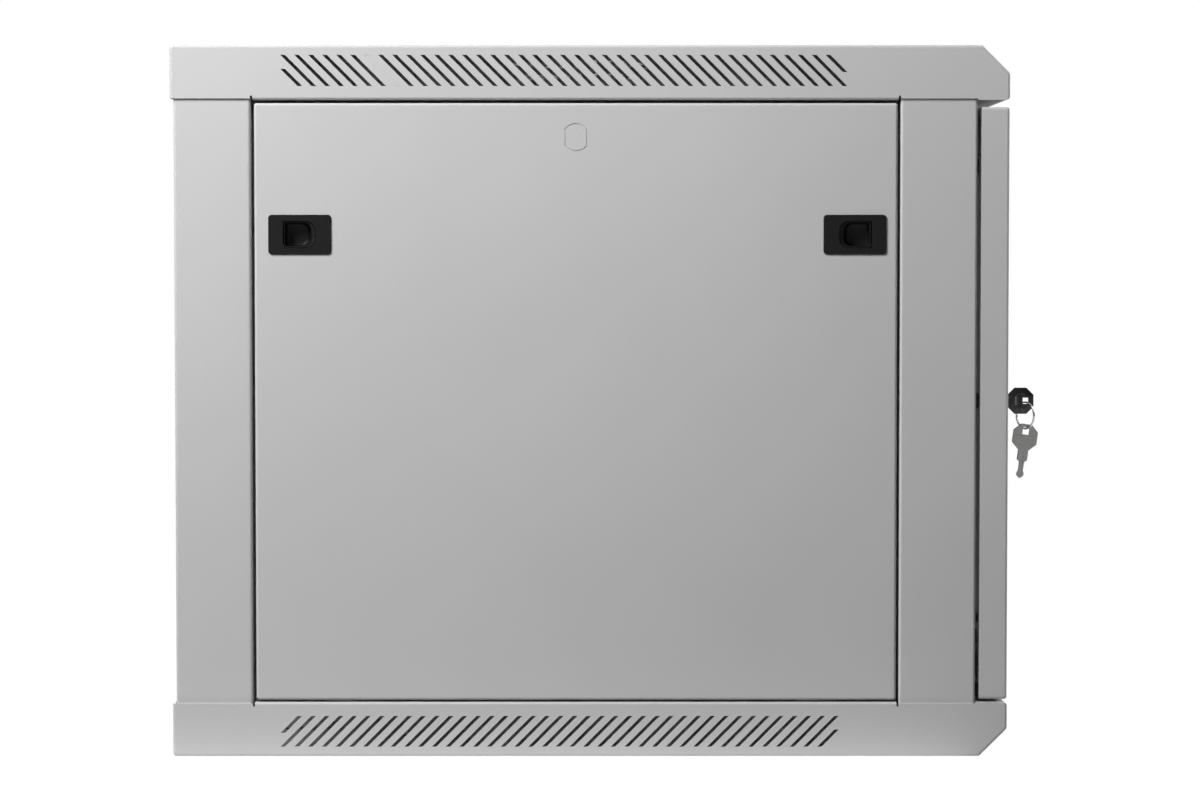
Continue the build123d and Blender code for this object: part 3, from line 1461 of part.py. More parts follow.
def make_spare_key():
    """The second key, bow uppermost on the ring; its blade swells above the tip."""
    half = SPARE_BOW_WIDTH / 2
    shoulder = SPARE_SHOULDER_WIDTH / 2
    blade = SPARE_BLADE_WIDTH / 2
    bulb = SPARE_BULB_WIDTH / 2
    shoulder_end = SPARE_BOW_HEIGHT + SPARE_SHOULDER_HEIGHT + SPARE_TIP
    with BuildPart() as key:
        with BuildSketch(Plane.YZ):
            with BuildLine():
                Polyline(
                    (-half + SPARE_BOW_CORNER, 0),
                    (half - SPARE_BOW_CORNER, 0),
                    (half, -SPARE_BOW_CORNER),
                    (half, -SPARE_BOW_HEIGHT + SPARE_BOW_CORNER),
                    (shoulder, -SPARE_BOW_HEIGHT),
                    (shoulder, -shoulder_end + SPARE_TIP),
                    (blade, -shoulder_end),
                    (blade, -SPARE_LENGTH + SPARE_BULB_LENGTH),
                    (bulb, -SPARE_LENGTH + SPARE_TIP + SPARE_BULB_SIDE),
                    (bulb, -SPARE_LENGTH + SPARE_TIP),
                    (bulb - SPARE_TIP, -SPARE_LENGTH),
                    (SPARE_TIP - bulb, -SPARE_LENGTH),
                    (-bulb, -SPARE_LENGTH + SPARE_TIP),
                    (-bulb, -SPARE_LENGTH + SPARE_TIP + SPARE_BULB_SIDE),
                    (-blade, -SPARE_LENGTH + SPARE_BULB_LENGTH),
                    (-blade, -shoulder_end),
                    (-shoulder, -shoulder_end + SPARE_TIP),
                    (-shoulder, -SPARE_BOW_HEIGHT),
                    (-half, -SPARE_BOW_HEIGHT + SPARE_BOW_CORNER),
                    (-half, -SPARE_BOW_CORNER),
                    close=True,
                )
            make_face()
            with Locations((0, -SPARE_HOLE_DOWN - SPARE_HOLE_HEIGHT / 2)):
                Rectangle(SPARE_HOLE_WIDTH, SPARE_HOLE_HEIGHT, mode=Mode.SUBTRACT)
        extrude(amount=SPARE_THICKNESS / 2, both=True)
        blade_length = SPARE_LENGTH - SPARE_BOW_HEIGHT
        with BuildSketch(Plane.YZ.offset(-SPARE_THICKNESS / 2)):
            with Locations((0, -SPARE_LENGTH + blade_length / 2)):
                Rectangle(KEY_GROOVE, blade_length)
        extrude(amount=KEY_GROOVE_DEPTH, mode=Mode.SUBTRACT)
    hole_top = RING_BOTTOM + RING_WIRE / 2 + SPARE_REST
    tilt = radians(SPARE_TILT)
    with BuildPart() as placed:
        with Locations(
            Location(
                (
                    LOCK_X,
                    KEY_HOLE_Y - SPARE_SIDE * cos(tilt) - SPARE_HOLE_DOWN * sin(tilt),
                    hole_top - SPARE_SIDE * sin(tilt) + SPARE_HOLE_DOWN * cos(tilt),
                ),
                (SPARE_TILT, 0, 0),
            )
        ):
            add(key.part)
    return placed


def make_earth_stud():
    """The earth stud with its nut, on the bottom cover."""
    seat = -TOP + SHEET
    with BuildPart() as stud:
        with Locations((-EARTH_X, -EARTH_Y, seat)):
            Cylinder(
                EARTH_STUD * HEAD_RATIO / 2, SHEET, align=(Align.CENTER, Align.CENTER, Align.MIN)
            )
            Cylinder(
                EARTH_STUD / 2, EARTH_STUD_LENGTH, align=(Align.CENTER, Align.CENTER, Align.MIN)
            )
        with Locations((-EARTH_X, -EARTH_Y, seat + 2 * SHEET)):
            with BuildSketch(mode=Mode.PRIVATE) as outline:
                RegularPolygon(EARTH_STUD * NUT_RATIO / 2, 6, major_radius=False)
            add(extrude(outline.sketch, EARTH_STUD * NUT_HEIGHT_RATIO, mode=Mode.PRIVATE))
    return stud


def pair(first, second):
    """Two groups of separate solids in one piece."""
    with BuildPart() as both:
        add(first.part)
        add(second.part)
    return both


def build_all():
    """Build every piece and write it."""
    finish(make_cover(True), "top_cover")
    finish(make_cover(False), "bottom_cover")
    finish(make_cable_cover(True), "top_cable_cover")
    finish(make_cable_cover(False), "bottom_cable_cover")
    finish(make_cable_cover_screws(), "cable_cover_screws")
    finish(make_back_panel(), "back_panel")
    finish(make_back_screws(), "back_panel_screws")
    screws, nuts = make_bracket_fasteners()
    finish(screws, "bracket_screws")
    finish(nuts, "bracket_nuts")
    finish(make_earth_stud(), "earth_stud")
    finish(make_bumpers(), "door_bumpers")
    for side in ("left", "right"):
        is_left = side == "left"
        finish(make_side_panel(is_left), f"{side}_side_panel")
        for level in ("upper", "lower"):
            finish(make_bracket(is_left, level == "upper"), f"{level}_{side}_bracket")
        for end in ("front", "rear"):
            is_front = end == "front"
            finish(make_post(is_left, is_front), f"{end}_{side}_post")
            finish(make_rail(is_left, is_front), f"{end}_{side}_rail")
            bolts, nuts = make_rail_bolts(is_left, is_front)
            finish(pair(bolts, nuts), f"{end}_{side}_rail_bolts")
            finish(make_latch_housing(is_left, is_front), f"{end}_{side}_latch_housing")
            finish(make_latch_slider(is_left, is_front), f"{end}_{side}_latch_slider")
    finish(make_door_frame(), "door_frame")
    finish(make_door_glass(), "door_glass")
    finish(make_gasket(), "glass_gasket")
    finish(make_retainers(), "glass_retainers")
    finish(make_retainer_nuts(), "retainer_nuts")
    finish(make_lower_pin(), "lower_hinge_pin")
    finish(make_washer(), "hinge_washer")
    finish(make_lower_bush(), "lower_hinge_bush")
    finish(make_upper_pin(), "upper_hinge_pin")
    finish(make_upper_guide(), "upper_hinge_guide")
    finish(make_spring(), "upper_hinge_spring")
    finish(make_lock_housing(), "lock_housing")
    finish(make_lock_nut(), "lock_nut")
    finish(make_lock_barrel(), "lock_barrel")
    finish(make_lock_cam(), "lock_cam")
    finish(make_cam_screw(), "cam_screw")
    finish(make_key_blade(), "key_blade")
    finish(make_key_head(), "key_head")
    finish(make_key_ring(), "key_ring")
    finish(make_spare_key(), "spare_key")


build_all()
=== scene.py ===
import json
import math

import bmesh
import bpy
from mathutils import Matrix, Vector


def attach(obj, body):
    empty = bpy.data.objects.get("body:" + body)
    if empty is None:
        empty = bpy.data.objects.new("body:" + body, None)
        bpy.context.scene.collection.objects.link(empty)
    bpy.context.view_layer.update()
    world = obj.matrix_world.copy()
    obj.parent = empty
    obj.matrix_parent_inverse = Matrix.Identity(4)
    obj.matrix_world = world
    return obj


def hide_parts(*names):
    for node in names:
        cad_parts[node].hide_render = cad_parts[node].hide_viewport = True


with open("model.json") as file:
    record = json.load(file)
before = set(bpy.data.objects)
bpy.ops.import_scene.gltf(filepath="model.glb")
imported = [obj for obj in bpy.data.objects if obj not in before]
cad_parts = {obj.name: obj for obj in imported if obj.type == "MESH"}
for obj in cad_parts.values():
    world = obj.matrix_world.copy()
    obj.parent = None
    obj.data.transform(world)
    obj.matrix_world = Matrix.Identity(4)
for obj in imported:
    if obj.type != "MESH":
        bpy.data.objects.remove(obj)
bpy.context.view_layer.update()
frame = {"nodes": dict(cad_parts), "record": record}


# Materials


def new_material(name):
    """A node material, with its tree, its shader and its object coordinates."""
    material = bpy.data.materials.new(name)
    material.use_nodes = True
    tree = material.node_tree
    shader = tree.nodes["Principled BSDF"]
    place = tree.nodes.new("ShaderNodeTexCoord")
    return material, tree, shader, place.outputs["Object"]


def noise(tree, place, scale, detail=2.0, roughness=0.5, stretch=None):
    """The value of a noise texture, in cycles per metre, stretched along an axis if asked."""
    texture = tree.nodes.new("ShaderNodeTexNoise")
    texture.inputs["Scale"].default_value = scale
    texture.inputs["Detail"].default_value = detail
    texture.inputs["Roughness"].default_value = roughness
    source = place
    if stretch:
        mapping = tree.nodes.new("ShaderNodeMapping")
        mapping.inputs["Scale"].default_value = stretch
        tree.links.new(place, mapping.inputs["Vector"])
        source = mapping.outputs["Vector"]
    tree.links.new(source, texture.inputs["Vector"])
    return texture.outputs["Fac"]


def ramp(tree, value, stops):
    """Colours or greys along a value."""
    node = tree.nodes.new("ShaderNodeValToRGB")
    elements = node.color_ramp.elements
    for element, (position, colour) in zip(elements, (stops[0], stops[-1])):
        element.position = position
        element.color = (*colour, 1)
    for position, colour in stops[1:-1]:
        elements.new(position).color = (*colour, 1)
    tree.links.new(value, node.inputs["Fac"])
    return node.outputs["Color"]


def grey(level):
    """A neutral colour."""
    return (level, level, level)


def bump(tree, shader, height, strength, distance):
    """Raises the surface with a height value."""
    node = tree.nodes.new("ShaderNodeBump")
    node.inputs["Strength"].default_value = strength
    node.inputs["Distance"].default_value = distance
    tree.links.new(height, node.inputs["Height"])
    tree.links.new(node.outputs["Normal"], shader.inputs["Normal"])


def powder_coat(name, level, rough=0.5):
    """Light grey powder coat: soft mottling and a fine orange-peel skin."""
    material, tree, shader, place = new_material(name)
    cloud = noise(tree, place, 9.0, 3.0)
    tint = ramp(tree, cloud, [(0.3, grey(level * 0.985)), (0.7, grey(level * 1.015))])
    tree.links.new(tint, shader.inputs["Base Color"])
    patch = noise(tree, place, 60.0, 2.0)
    gloss = ramp(tree, patch, [(0.3, grey(rough - 0.04)), (0.7, grey(rough + 0.04))])
    tree.links.new(gloss, shader.inputs["Roughness"])
    shader.inputs["Specular IOR Level"].default_value = 0.35
    peel = noise(tree, place, 620.0, 2.0, 0.55)
    bump(tree, shader, peel, 0.22, 0.0002)
    return material


def metal(name, colour, rough, spread=0.06, streak=(1, 1, 1), scale=300.0):
    """Plated or bare metal with faint streaks in its gloss and tone."""
    material, tree, shader, place = new_material(name)
    grain = noise(tree, place, scale, 3.0, 0.6, streak)
    dark = tuple(c * 0.9 for c in colour)
    tint = ramp(tree, grain, [(0.3, dark), (0.7, colour)])
    tree.links.new(tint, shader.inputs["Base Color"])
    gloss = ramp(tree, grain, [(0.3, grey(rough - spread)), (0.7, grey(rough + spread))])
    tree.links.new(gloss, shader.inputs["Roughness"])
    shader.inputs["Metallic"].default_value = 1.0
    bump(tree, shader, grain, 0.05, 0.0001)
    return material


def plastic(name, level, rough, grain_scale, grain_strength, shine=0.4):
    """Moulded plastic or rubber with an eroded grain."""
    material, tree, shader, place = new_material(name)
    cloud = noise(tree, place, 120.0, 2.0)
    tint = ramp(tree, cloud, [(0.3, grey(level * 0.9)), (0.7, grey(level * 1.1))])
    tree.links.new(tint, shader.inputs["Base Color"])
    grain = noise(tree, place, grain_scale, 2.0)
    gloss = ramp(tree, grain, [(0.3, grey(rough - 0.05)), (0.7, grey(rough + 0.05))])
    tree.links.new(gloss, shader.inputs["Roughness"])
    shader.inputs["Specular IOR Level"].default_value = shine
    bump(tree, shader, grain, grain_strength, 0.0001)
    return material


def pane(name):
    """Smoked tempered glass with the faintest waviness."""
    material, tree, shader, place = new_material(name)
    cloud = noise(tree, place, 4.0, 1.0)
    tint = ramp(tree, cloud, [(0.3, (0.105, 0.112, 0.115)), (0.7, (0.115, 0.122, 0.125))])
    tree.links.new(tint, shader.inputs["Base Color"])
    shader.inputs["Roughness"].default_value = 0.02
    shader.inputs["IOR"].default_value = 1.45
    shader.inputs["Transmission Weight"].default_value = 1.0
    wave = noise(tree, place, 2.5, 0.0)
    bump(tree, shader, wave, 0.02, 0.001)
    return material


PAINT = 0.62
MATERIALS = {
    "cover_paint": powder_coat("cover_powder_coat", PAINT),
    "frame_paint": powder_coat("frame_powder_coat", PAINT),
    "panel_paint": powder_coat("panel_powder_coat", PAINT),
    "door_paint": powder_coat("door_powder_coat", PAINT),
    "rail_paint": powder_coat("rail_powder_coat", 0.56),
    "zinc_fastener": metal("zinc_plate", (0.66, 0.67, 0.69), 0.32),
    "strip_zinc": metal("galvanised_sheet", (0.55, 0.56, 0.58), 0.42, scale=90.0),
    "hinge_steel": metal("turned_steel", (0.60, 0.60, 0.61), 0.28, streak=(1, 1, 12)),
    "spring_steel": metal("spring_wire", (0.48, 0.48, 0.49), 0.3),
    "nylon": plastic("natural_nylon", 0.68, 0.4, 900.0, 0.05),
    "door_glass": pane("smoked_pane"),
    "gasket_rubber": plastic("gasket_rubber", 0.02, 0.7, 1200.0, 0.1),
    "bumper_rubber": plastic("bumper_rubber", 0.03, 0.65, 1200.0, 0.1),
    "latch_plastic": plastic("grained_black_plastic", 0.008, 0.48, 1100.0, 0.12, 0.18),
    "lock_metal": metal("nickel_plate", (0.68, 0.67, 0.65), 0.22),
    "barrel_metal": metal("barrel_nickel", (0.10, 0.10, 0.10), 0.30),
    "key_metal": metal("key_nickel", (0.36, 0.355, 0.35), 0.22, streak=(1, 1, 8)),
    "key_plastic": plastic("key_head_plastic", 0.028, 0.28, 1000.0, 0.1, 0.5),
    "ring_steel": metal("ring_wire", (0.62, 0.62, 0.63), 0.10),
}

for row in frame["record"]["subparts"]:
    mesh = frame["nodes"][row["node"]].data
    mesh.materials.clear()
    mesh.materials.append(MATERIALS[row["material_slot"]])


# Mesh helpers

MM = 0.001
SHARP = math.radians(35)
# How far a cutter reaches past a face, and how deep an added line sinks in
BEYOND = 1.0
SINK = 0.1


def skin(shell, loops):
    """Adds faces through loops of equally many points, with a cap at each end."""
    rings = [[shell.verts.new(Vector(point) * MM) for point in loop] for loop in loops]
    for low, high in zip(rings, rings[1:]):
        for i in range(len(low)):
            j = (i + 1) % len(low)
            shell.faces.new((low[i], low[j], high[j], high[i]))
    shell.faces.new(rings[0][::-1])
    shell.faces.new(rings[-1])


def new_mesh(name, bodies):
    """A mesh of closed bodies, each given as its loops in millimetres."""
    mesh = bpy.data.meshes.new(name)
    shell = bmesh.new()
    for loops in bodies:
        skin(shell, loops)
    bmesh.ops.recalc_face_normals(shell, faces=shell.faces)
    shell.to_mesh(mesh)
    shell.free()
    return mesh


def block(low, high):
    """The loops of a block between two corners."""
    sides = [(low[1], low[2]), (high[1], low[2]), (high[1], high[2]), (low[1], high[2])]
    return [[(x, a, b) for a, b in sides] for x in (low[0], high[0])]


def add_piece(name, mesh, slot, body):
    """Links a mesh as a piece of the object, in its slot's material, riding on a body."""
    piece = bpy.data.objects.new(name, mesh)
    bpy.context.scene.collection.objects.link(piece)
    mesh.materials.append(MATERIALS[slot])
    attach(piece, body)
    return piece


def settle(mesh, kind, **settings):
    """The mesh after one modifier."""
    holder = bpy.data.objects.new("holder", mesh)
    bpy.context.scene.collection.objects.link(holder)
    step = holder.modifiers.new("step", kind)
    for key, value in settings.items():
        setattr(step, key, value)
    bpy.context.view_layer.update()
    graph = bpy.context.evaluated_depsgraph_get()
    made = bpy.data.meshes.new_from_object(holder.evaluated_get(graph))
    bpy.data.objects.remove(holder)
    bpy.data.meshes.remove(mesh)
    return made


def combine(mesh, tool_mesh, operation):
    """The mesh cut by, or joined with, another."""
    tool = bpy.data.objects.new("tool", tool_mesh)
    bpy.context.scene.collection.objects.link(tool)
    made = settle(mesh, "BOOLEAN", operation=operation, object=tool, solver="EXACT")
    bpy.data.objects.remove(tool)
    bpy.data.meshes.remove(tool_mesh)
    return made


def soften(mesh, width):
    """The mesh with its sharp edges rounded."""
    made = settle(mesh, "BEVEL", width=width * MM, segments=2, limit_method="ANGLE", angle_limit=SHARP)
    made.shade_flat()
    return made


def inset_loop(points, inset):
    """An anticlockwise loop moved inwards by the same distance at every side."""
    count = len(points)
    moved = []
    for i in range(count):
        before, here, after = (Vector(points[k % count]) for k in (i - 1, i, i + 1))
        first, second = (Vector((-d.y, d.x)).normalized() for d in (here - before, after - here))
        middle = (first + second).normalized()
        moved.append(here + middle * inset / middle.dot(first))
    return moved


def bevelled_plate(outline, half, edge_half, inset):
    """The loops of a plate across X whose rim slopes on both sides."""
    levels = [(-half, inset), (-edge_half, 0.0), (edge_half, 0.0), (half, inset)]
    return [[(x, *point) for point in inset_loop(outline, step)] for x, step in levels]


# Latch cups: a rolled lip, a ledge at the round end and grip ribs

SKIN_X = 298.5
LATCH_Z = 120.0
LATCH_ENDS = {"front": (-512.0, 1), "rear": (-70.0, -1)}
ARC_STEPS = 8
CUP_LEVELS = [
    # depth behind the panel's skin, start, end, half height, round radius, corner radius
    (10.30, 14.0, 26.0, 6.4, 3.9, 1.5),
    (10.20, 11.9, 33.1, 8.65, 6.2, 1.0),
    (0.35, 11.9, 33.1, 8.65, 6.2, 1.0),
    (0.30, 11.2, 33.8, 9.35, 6.9, 1.3),
    (0.12, 11.4, 33.6, 9.15, 6.7, 1.2),
    (0.12, 11.8, 33.2, 8.75, 6.3, 1.0),
    (0.40, 12.0, 33.0, 8.55, 6.1, 0.9),
    (1.20, 12.05, 32.9, 8.5, 6.0, 0.9),
    (1.40, 12.1, 32.6, 8.45, 5.9, 0.9),
    (1.45, 12.1, 31.1, 8.35, 5.9, 0.9),
    (1.80, 12.1, 30.7, 8.3, 5.8, 0.9),
    (5.50, 12.15, 30.2, 8.2, 5.7, 1.0),
    (8.50, 12.3, 29.0, 7.9, 5.3, 1.2),
    (9.60, 12.8, 27.6, 7.4, 4.7, 1.5),
    (10.0, 14.0, 26.0, 6.4, 3.9, 1.5),
]
RIB_ROWS = (-2.4, -0.8, 0.8, 2.4)
RIB_LEVELS = [
    # depth, start, end, half height
    (1.2, 30.8, 31.6, 0.12),
    (1.4, 30.3, 31.8, 0.28),
    (5.2, 29.6, 31.8, 0.28),
    (6.0, 30.0, 31.8, 0.12),
]


def cup_loop(start, end, half, round_radius, corner_radius):
    """A loop as (along, up): square at the latch's outer end, round at the other."""
    loop = []
    corners = [
        (start, 1, -half, corner_radius, 180),
        (end, -1, -half, round_radius, 270),
        (end, -1, half, round_radius, 0),
        (start, 1, half, corner_radius, 90),
    ]
    for along, back, up, radius, first in corners:
        middle_up = up - math.copysign(radius, up)
        for step in range(ARC_STEPS + 1):
            angle = math.radians(first + 90 * step / ARC_STEPS)
            a = along + back * radius + radius * math.cos(angle)
            loop.append((a, middle_up + radius * math.sin(angle)))
    return loop


def make_cup(side, end):
    """One latch's cup lining with its ribs; side is -1 at the left."""
    outer, inward = LATCH_ENDS[end]

    def place(depth, along, up):
        return (side * (SKIN_X - depth), outer + inward * along, LATCH_Z + up)

    lining = [[place(depth, a, b) for a, b in cup_loop(*sizes)] for depth, *sizes in CUP_LEVELS]
    bodies = [lining]
    for row in RIB_ROWS:
        bodies.append(
            [
                [
                    place(depth, a, row + b)
                    for a, b in ((start, -half), (stop, -half), (stop, half), (start, half))
                ]
                for depth, start, stop, half in RIB_LEVELS
            ]
        )
    mesh = new_mesh("cup", bodies)
    mesh.shade_smooth()
    mesh.set_sharp_from_angle(angle=SHARP)
    return mesh


for side_name, side_sign in (("left", -1), ("right", 1)):
    for end_name in LATCH_ENDS:
        latch = f"{end_name}_{side_name}"
        add_piece(f"{latch}_cup_lining", make_cup(side_sign, end_name), "latch_plastic", f"{latch}_latch")


# Key in the lock: a bevelled octagonal head with a sunk strap and a framed pad

LOCK_X = -274.0
HEAD_BASE = -602.1
HEAD_END = -621.1
HEAD_HALF = 9.5
HEAD_CORNER = 5.2
HEAD_THICK = 1.5
HEAD_EDGE = 0.35
NECK_HALF = (1.15, 3.9)
NECK_LENGTH = 7.0
HEAD_SLOPE = 4.0
STRAP_Y = -609.7
STRAP_HALF = 2.05
STRAP_DEEP = 0.8
PAD_HALF = 1.6
PAD_TALL = 4.6
PAD_LINE = 0.4
EYE_Y = -615.2
EYE_HALF = (2.1, 2.25)
HEAD_ROUND = 0.12


def octagon(y0, y1, z0, z1, corner):
    """An anticlockwise octagon as (y, z)."""
    return [
        (y0 + corner, z0),
        (y1 - corner, z0),
        (y1, z0 + corner),
        (y1, z1 - corner),
        (y1 - corner, z1),
        (y0 + corner, z1),
        (y0, z1 - corner),
        (y0, z0 + corner),
    ]


def make_key_head():
    """The head with its neck, the strap and framed pad on both faces, and the eye."""
    outline = octagon(HEAD_END, HEAD_BASE, -HEAD_HALF, HEAD_HALF, HEAD_CORNER)
    plate = bevelled_plate(outline, HEAD_THICK, HEAD_EDGE, HEAD_SLOPE)
    mesh = new_mesh("key_head", [[[(x + LOCK_X, y, z) for x, y, z in loop] for loop in plate]])
    neck = block(
        (LOCK_X - NECK_HALF[0], HEAD_BASE - NECK_LENGTH, -NECK_HALF[1]),
        (LOCK_X + NECK_HALF[0], HEAD_BASE, NECK_HALF[1]),
    )
    mesh = combine(mesh, new_mesh("neck", [neck]), "UNION")
    for face in (-1, 1):
        # The strap follows the slope of the rim
        deep = HEAD_THICK - STRAP_DEEP
        profile = [
            (HEAD_THICK + BEYOND, -HEAD_HALF - BEYOND),
            (HEAD_EDGE / 2, -HEAD_HALF - BEYOND),
            (HEAD_EDGE / 2, -HEAD_HALF),
            (deep, -HEAD_HALF + HEAD_SLOPE),
            (deep, HEAD_HALF - HEAD_SLOPE),
            (HEAD_EDGE / 2, HEAD_HALF),
            (HEAD_EDGE / 2, HEAD_HALF + BEYOND),
            (HEAD_THICK + BEYOND, HEAD_HALF + BEYOND),
        ]
        strap = [
            [(LOCK_X + face * x, y, z) for x, z in profile]
            for y in (STRAP_Y - STRAP_HALF, STRAP_Y + STRAP_HALF)
        ]
        mesh = combine(mesh, new_mesh("strap", [strap]), "DIFFERENCE")
    for face in (-1, 1):
        near = LOCK_X + face * (HEAD_THICK - STRAP_DEEP - SINK)
        far = LOCK_X + face * HEAD_THICK
        low, high = min(near, far), max(near, far)
        frame_lines = [
            ((-PAD_HALF, -PAD_TALL), (-PAD_HALF + PAD_LINE, PAD_TALL)),
            ((PAD_HALF - PAD_LINE, -PAD_TALL), (PAD_HALF, PAD_TALL)),
            ((-PAD_HALF + PAD_LINE, -PAD_TALL), (PAD_HALF - PAD_LINE, -PAD_TALL + PAD_LINE)),
            ((-PAD_HALF + PAD_LINE, PAD_TALL - PAD_LINE), (PAD_HALF - PAD_LINE, PAD_TALL)),
        ]
        for (y0, z0), (y1, z1) in frame_lines:
            line = block((low, STRAP_Y + y0, z0), (high, STRAP_Y + y1, z1))
            mesh = combine(mesh, new_mesh("line", [line]), "UNION")
    eye = block(
        (LOCK_X - HEAD_THICK - BEYOND, EYE_Y - EYE_HALF[0], -EYE_HALF[1]),
        (LOCK_X + HEAD_THICK + BEYOND, EYE_Y + EYE_HALF[0], EYE_HALF[1]),
    )
    mesh = combine(mesh, new_mesh("eye", [eye]), "DIFFERENCE")
    return soften(mesh, HEAD_ROUND)


key_head = add_piece("bevelled_key_head", make_key_head(), "key_plastic", "key")
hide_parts("key_head")


# Split ring: two turns of flat wire that cross over once

RING_CENTRE = (LOCK_X, EYE_Y, -10.65)
RING_RADIUS = 9.6
RING_TURN = math.radians(33)
RING_STEPS = 96
RING_WIDE = 0.60
RING_THIN = 0.31
RING_ROUND = 0.28
RING_LIFT = 0.33
RING_START = math.radians(70)
RING_CROSS = math.radians(35)
RING_SHARP = math.radians(60)


def make_ring():
    """The ring: rounded wire sections along two turns, from one blunt end to the other."""
    across = Vector((math.cos(RING_TURN), math.sin(RING_TURN), 0))
    axis = Vector((math.sin(RING_TURN), -math.cos(RING_TURN), 0))
    up = Vector((0, 0, 1))
    centre = Vector(RING_CENTRE)
    section = []
    for corner in range(4):
        for step in range(3):
            angle = math.radians(90 * corner + 45 * step)
            turn = math.radians(90 * corner + 45)
            section.append(
                (
                    math.copysign(RING_WIDE - RING_ROUND, math.cos(turn)) + RING_ROUND * math.cos(angle),
                    math.copysign(RING_THIN - RING_ROUND, math.sin(turn)) + RING_ROUND * math.sin(angle),
                )
            )
    loops = []
    total = 4 * math.pi - RING_CROSS
    for step in range(2 * RING_STEPS + 1):
        angle = total * step / (2 * RING_STEPS)
        crossing = (angle - (total - RING_CROSS) / 2) / RING_CROSS
        share = min(max(crossing, 0.0), 1.0)
        lift = RING_LIFT * (2 * share * share * (3 - 2 * share) - 1)
        out = across * math.cos(angle + RING_START) + up * math.sin(angle + RING_START)
        loops.append(
            [centre + out * (RING_RADIUS + a) + axis * (lift + b) for a, b in section]
        )
    mesh = new_mesh("split_ring", [loops])
    mesh.shade_smooth()
    mesh.set_sharp_from_angle(angle=RING_SHARP)
    return mesh


split_ring = add_piece("split_ring", make_ring(), "ring_steel", "ring")
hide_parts("key_ring")


# Spare key: a pressed flat key with a bordered bow, a milled groove and shallow bitting

SPARE_PLACE = (LOCK_X, -616.306, -16.975)
SPARE_TILT = math.radians(7.5)
SPARE_HALF = 0.9
SPARE_EDGE = 0.62
SPARE_RIM = 0.35
BOW_HALF = 9.0
BOW_TALL = 19.0
BOW_CORNER = 5.0
SHOULDER = (3.8, -26.0)
BLADE_TOP = -27.6
BLADE_HALF = 2.0
BULB_HALF = 2.7
BULB_Z = (-35.8, -37.4)
TIP_HALF = 0.6
SPARE_END = -39.4
NOTCHES = (-29.6, -31.0, -32.4, -33.8)
NOTCH_DEEP = 0.35
NOTCH_HALF = 0.45
BORDER_Z = (-15.6, -9.4)
BORDER_HALF = 6.3
BORDER_LINE = 0.6
BORDER_HIGH = 0.3
HOLE_HALF = 2.3
HOLE_Z = (-7.6, -2.4)
GROOVE_FLOOR = 0.2
GROOVE_HALF = 0.55
GROOVE_Z = (-38.0, -22.5)
SPARE_ROUND = 0.08


def spare_side():
    """The right half of the spare key's outline, from the bow's top to the tip."""
    points = [
        (BOW_HALF - BOW_CORNER, 0.0),
        (BOW_HALF, -BOW_CORNER),
        (BOW_HALF, -BOW_TALL + BOW_CORNER),
        (SHOULDER[0], -BOW_TALL),
        (SHOULDER[0], SHOULDER[1]),
        (BLADE_HALF, BLADE_TOP),
    ]
    for level in NOTCHES:
        points.append((BLADE_HALF, level + NOTCH_HALF))
        points.append((BLADE_HALF - NOTCH_DEEP, level))
        points.append((BLADE_HALF, level - NOTCH_HALF))
    for level in BULB_Z:
        points.append((BULB_HALF, level))
    points.append((TIP_HALF, SPARE_END))
    return points


def make_spare():
    """The spare key, hanging at its tilt, with its hole, grooves and border."""
    right = spare_side()
    outline = [(-y, z) for y, z in right] + [(y, z) for y, z in reversed(right)]
    mesh = new_mesh("spare_key", [bevelled_plate(outline, SPARE_HALF, SPARE_EDGE, SPARE_RIM)])
    reach = SPARE_HALF + BEYOND
    cuts = [block((-reach, -HOLE_HALF, HOLE_Z[0]), (reach, HOLE_HALF, HOLE_Z[1]))]
    for face in (-1, 1):
        near, far = sorted((face * GROOVE_FLOOR, face * reach))
        cuts.append(block((near, -GROOVE_HALF, GROOVE_Z[0]), (far, GROOVE_HALF, GROOVE_Z[1])))
    for cutter in cuts:
        mesh = combine(mesh, new_mesh("cutter", [cutter]), "DIFFERENCE")
    low, high = BORDER_Z
    lines = [
        ((-BORDER_HALF, low), (-BORDER_HALF + BORDER_LINE, high)),
        ((BORDER_HALF - BORDER_LINE, low), (BORDER_HALF, high)),
        ((-BORDER_HALF, low - BORDER_LINE), (BORDER_HALF, low)),
        ((-BORDER_HALF, high), (BORDER_HALF, high + BORDER_LINE)),
    ]
    for face in (-1, 1):
        near, far = sorted((face * (SPARE_HALF - SINK), face * (SPARE_HALF + BORDER_HIGH)))
        for (y0, z0), (y1, z1) in lines:
            line = block((near, y0, z0), (far, y1, z1))
            mesh = combine(mesh, new_mesh("line", [line]), "UNION")
    mesh = soften(mesh, SPARE_ROUND)
    turn = Matrix.Rotation(SPARE_TILT, 4, "X")
    mesh.transform(Matrix.Translation(Vector(SPARE_PLACE) * MM) @ turn)
    return mesh


spare_key = add_piece("pressed_spare_key", make_spare(), "key_metal", "second_key")
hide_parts("spare_key")


# Stage, light and camera

FLOOR_LEVEL = -2.4
FLOOR_HALF = 30.0
FLOOR_GLOW = 0.965
AMBIENT = 0.012
# What glossy rays see of the world, from -X to +X
REFLECTED = [(0.0, 0.30), (0.08, 0.10), (0.42, 0.16), (0.62, 1.0)]
CAMERA_PLACE = (-2.6272, -0.3072, 0.1036)
CAMERA_LENS = 97.58
CAMERA_DOWN = 2.508


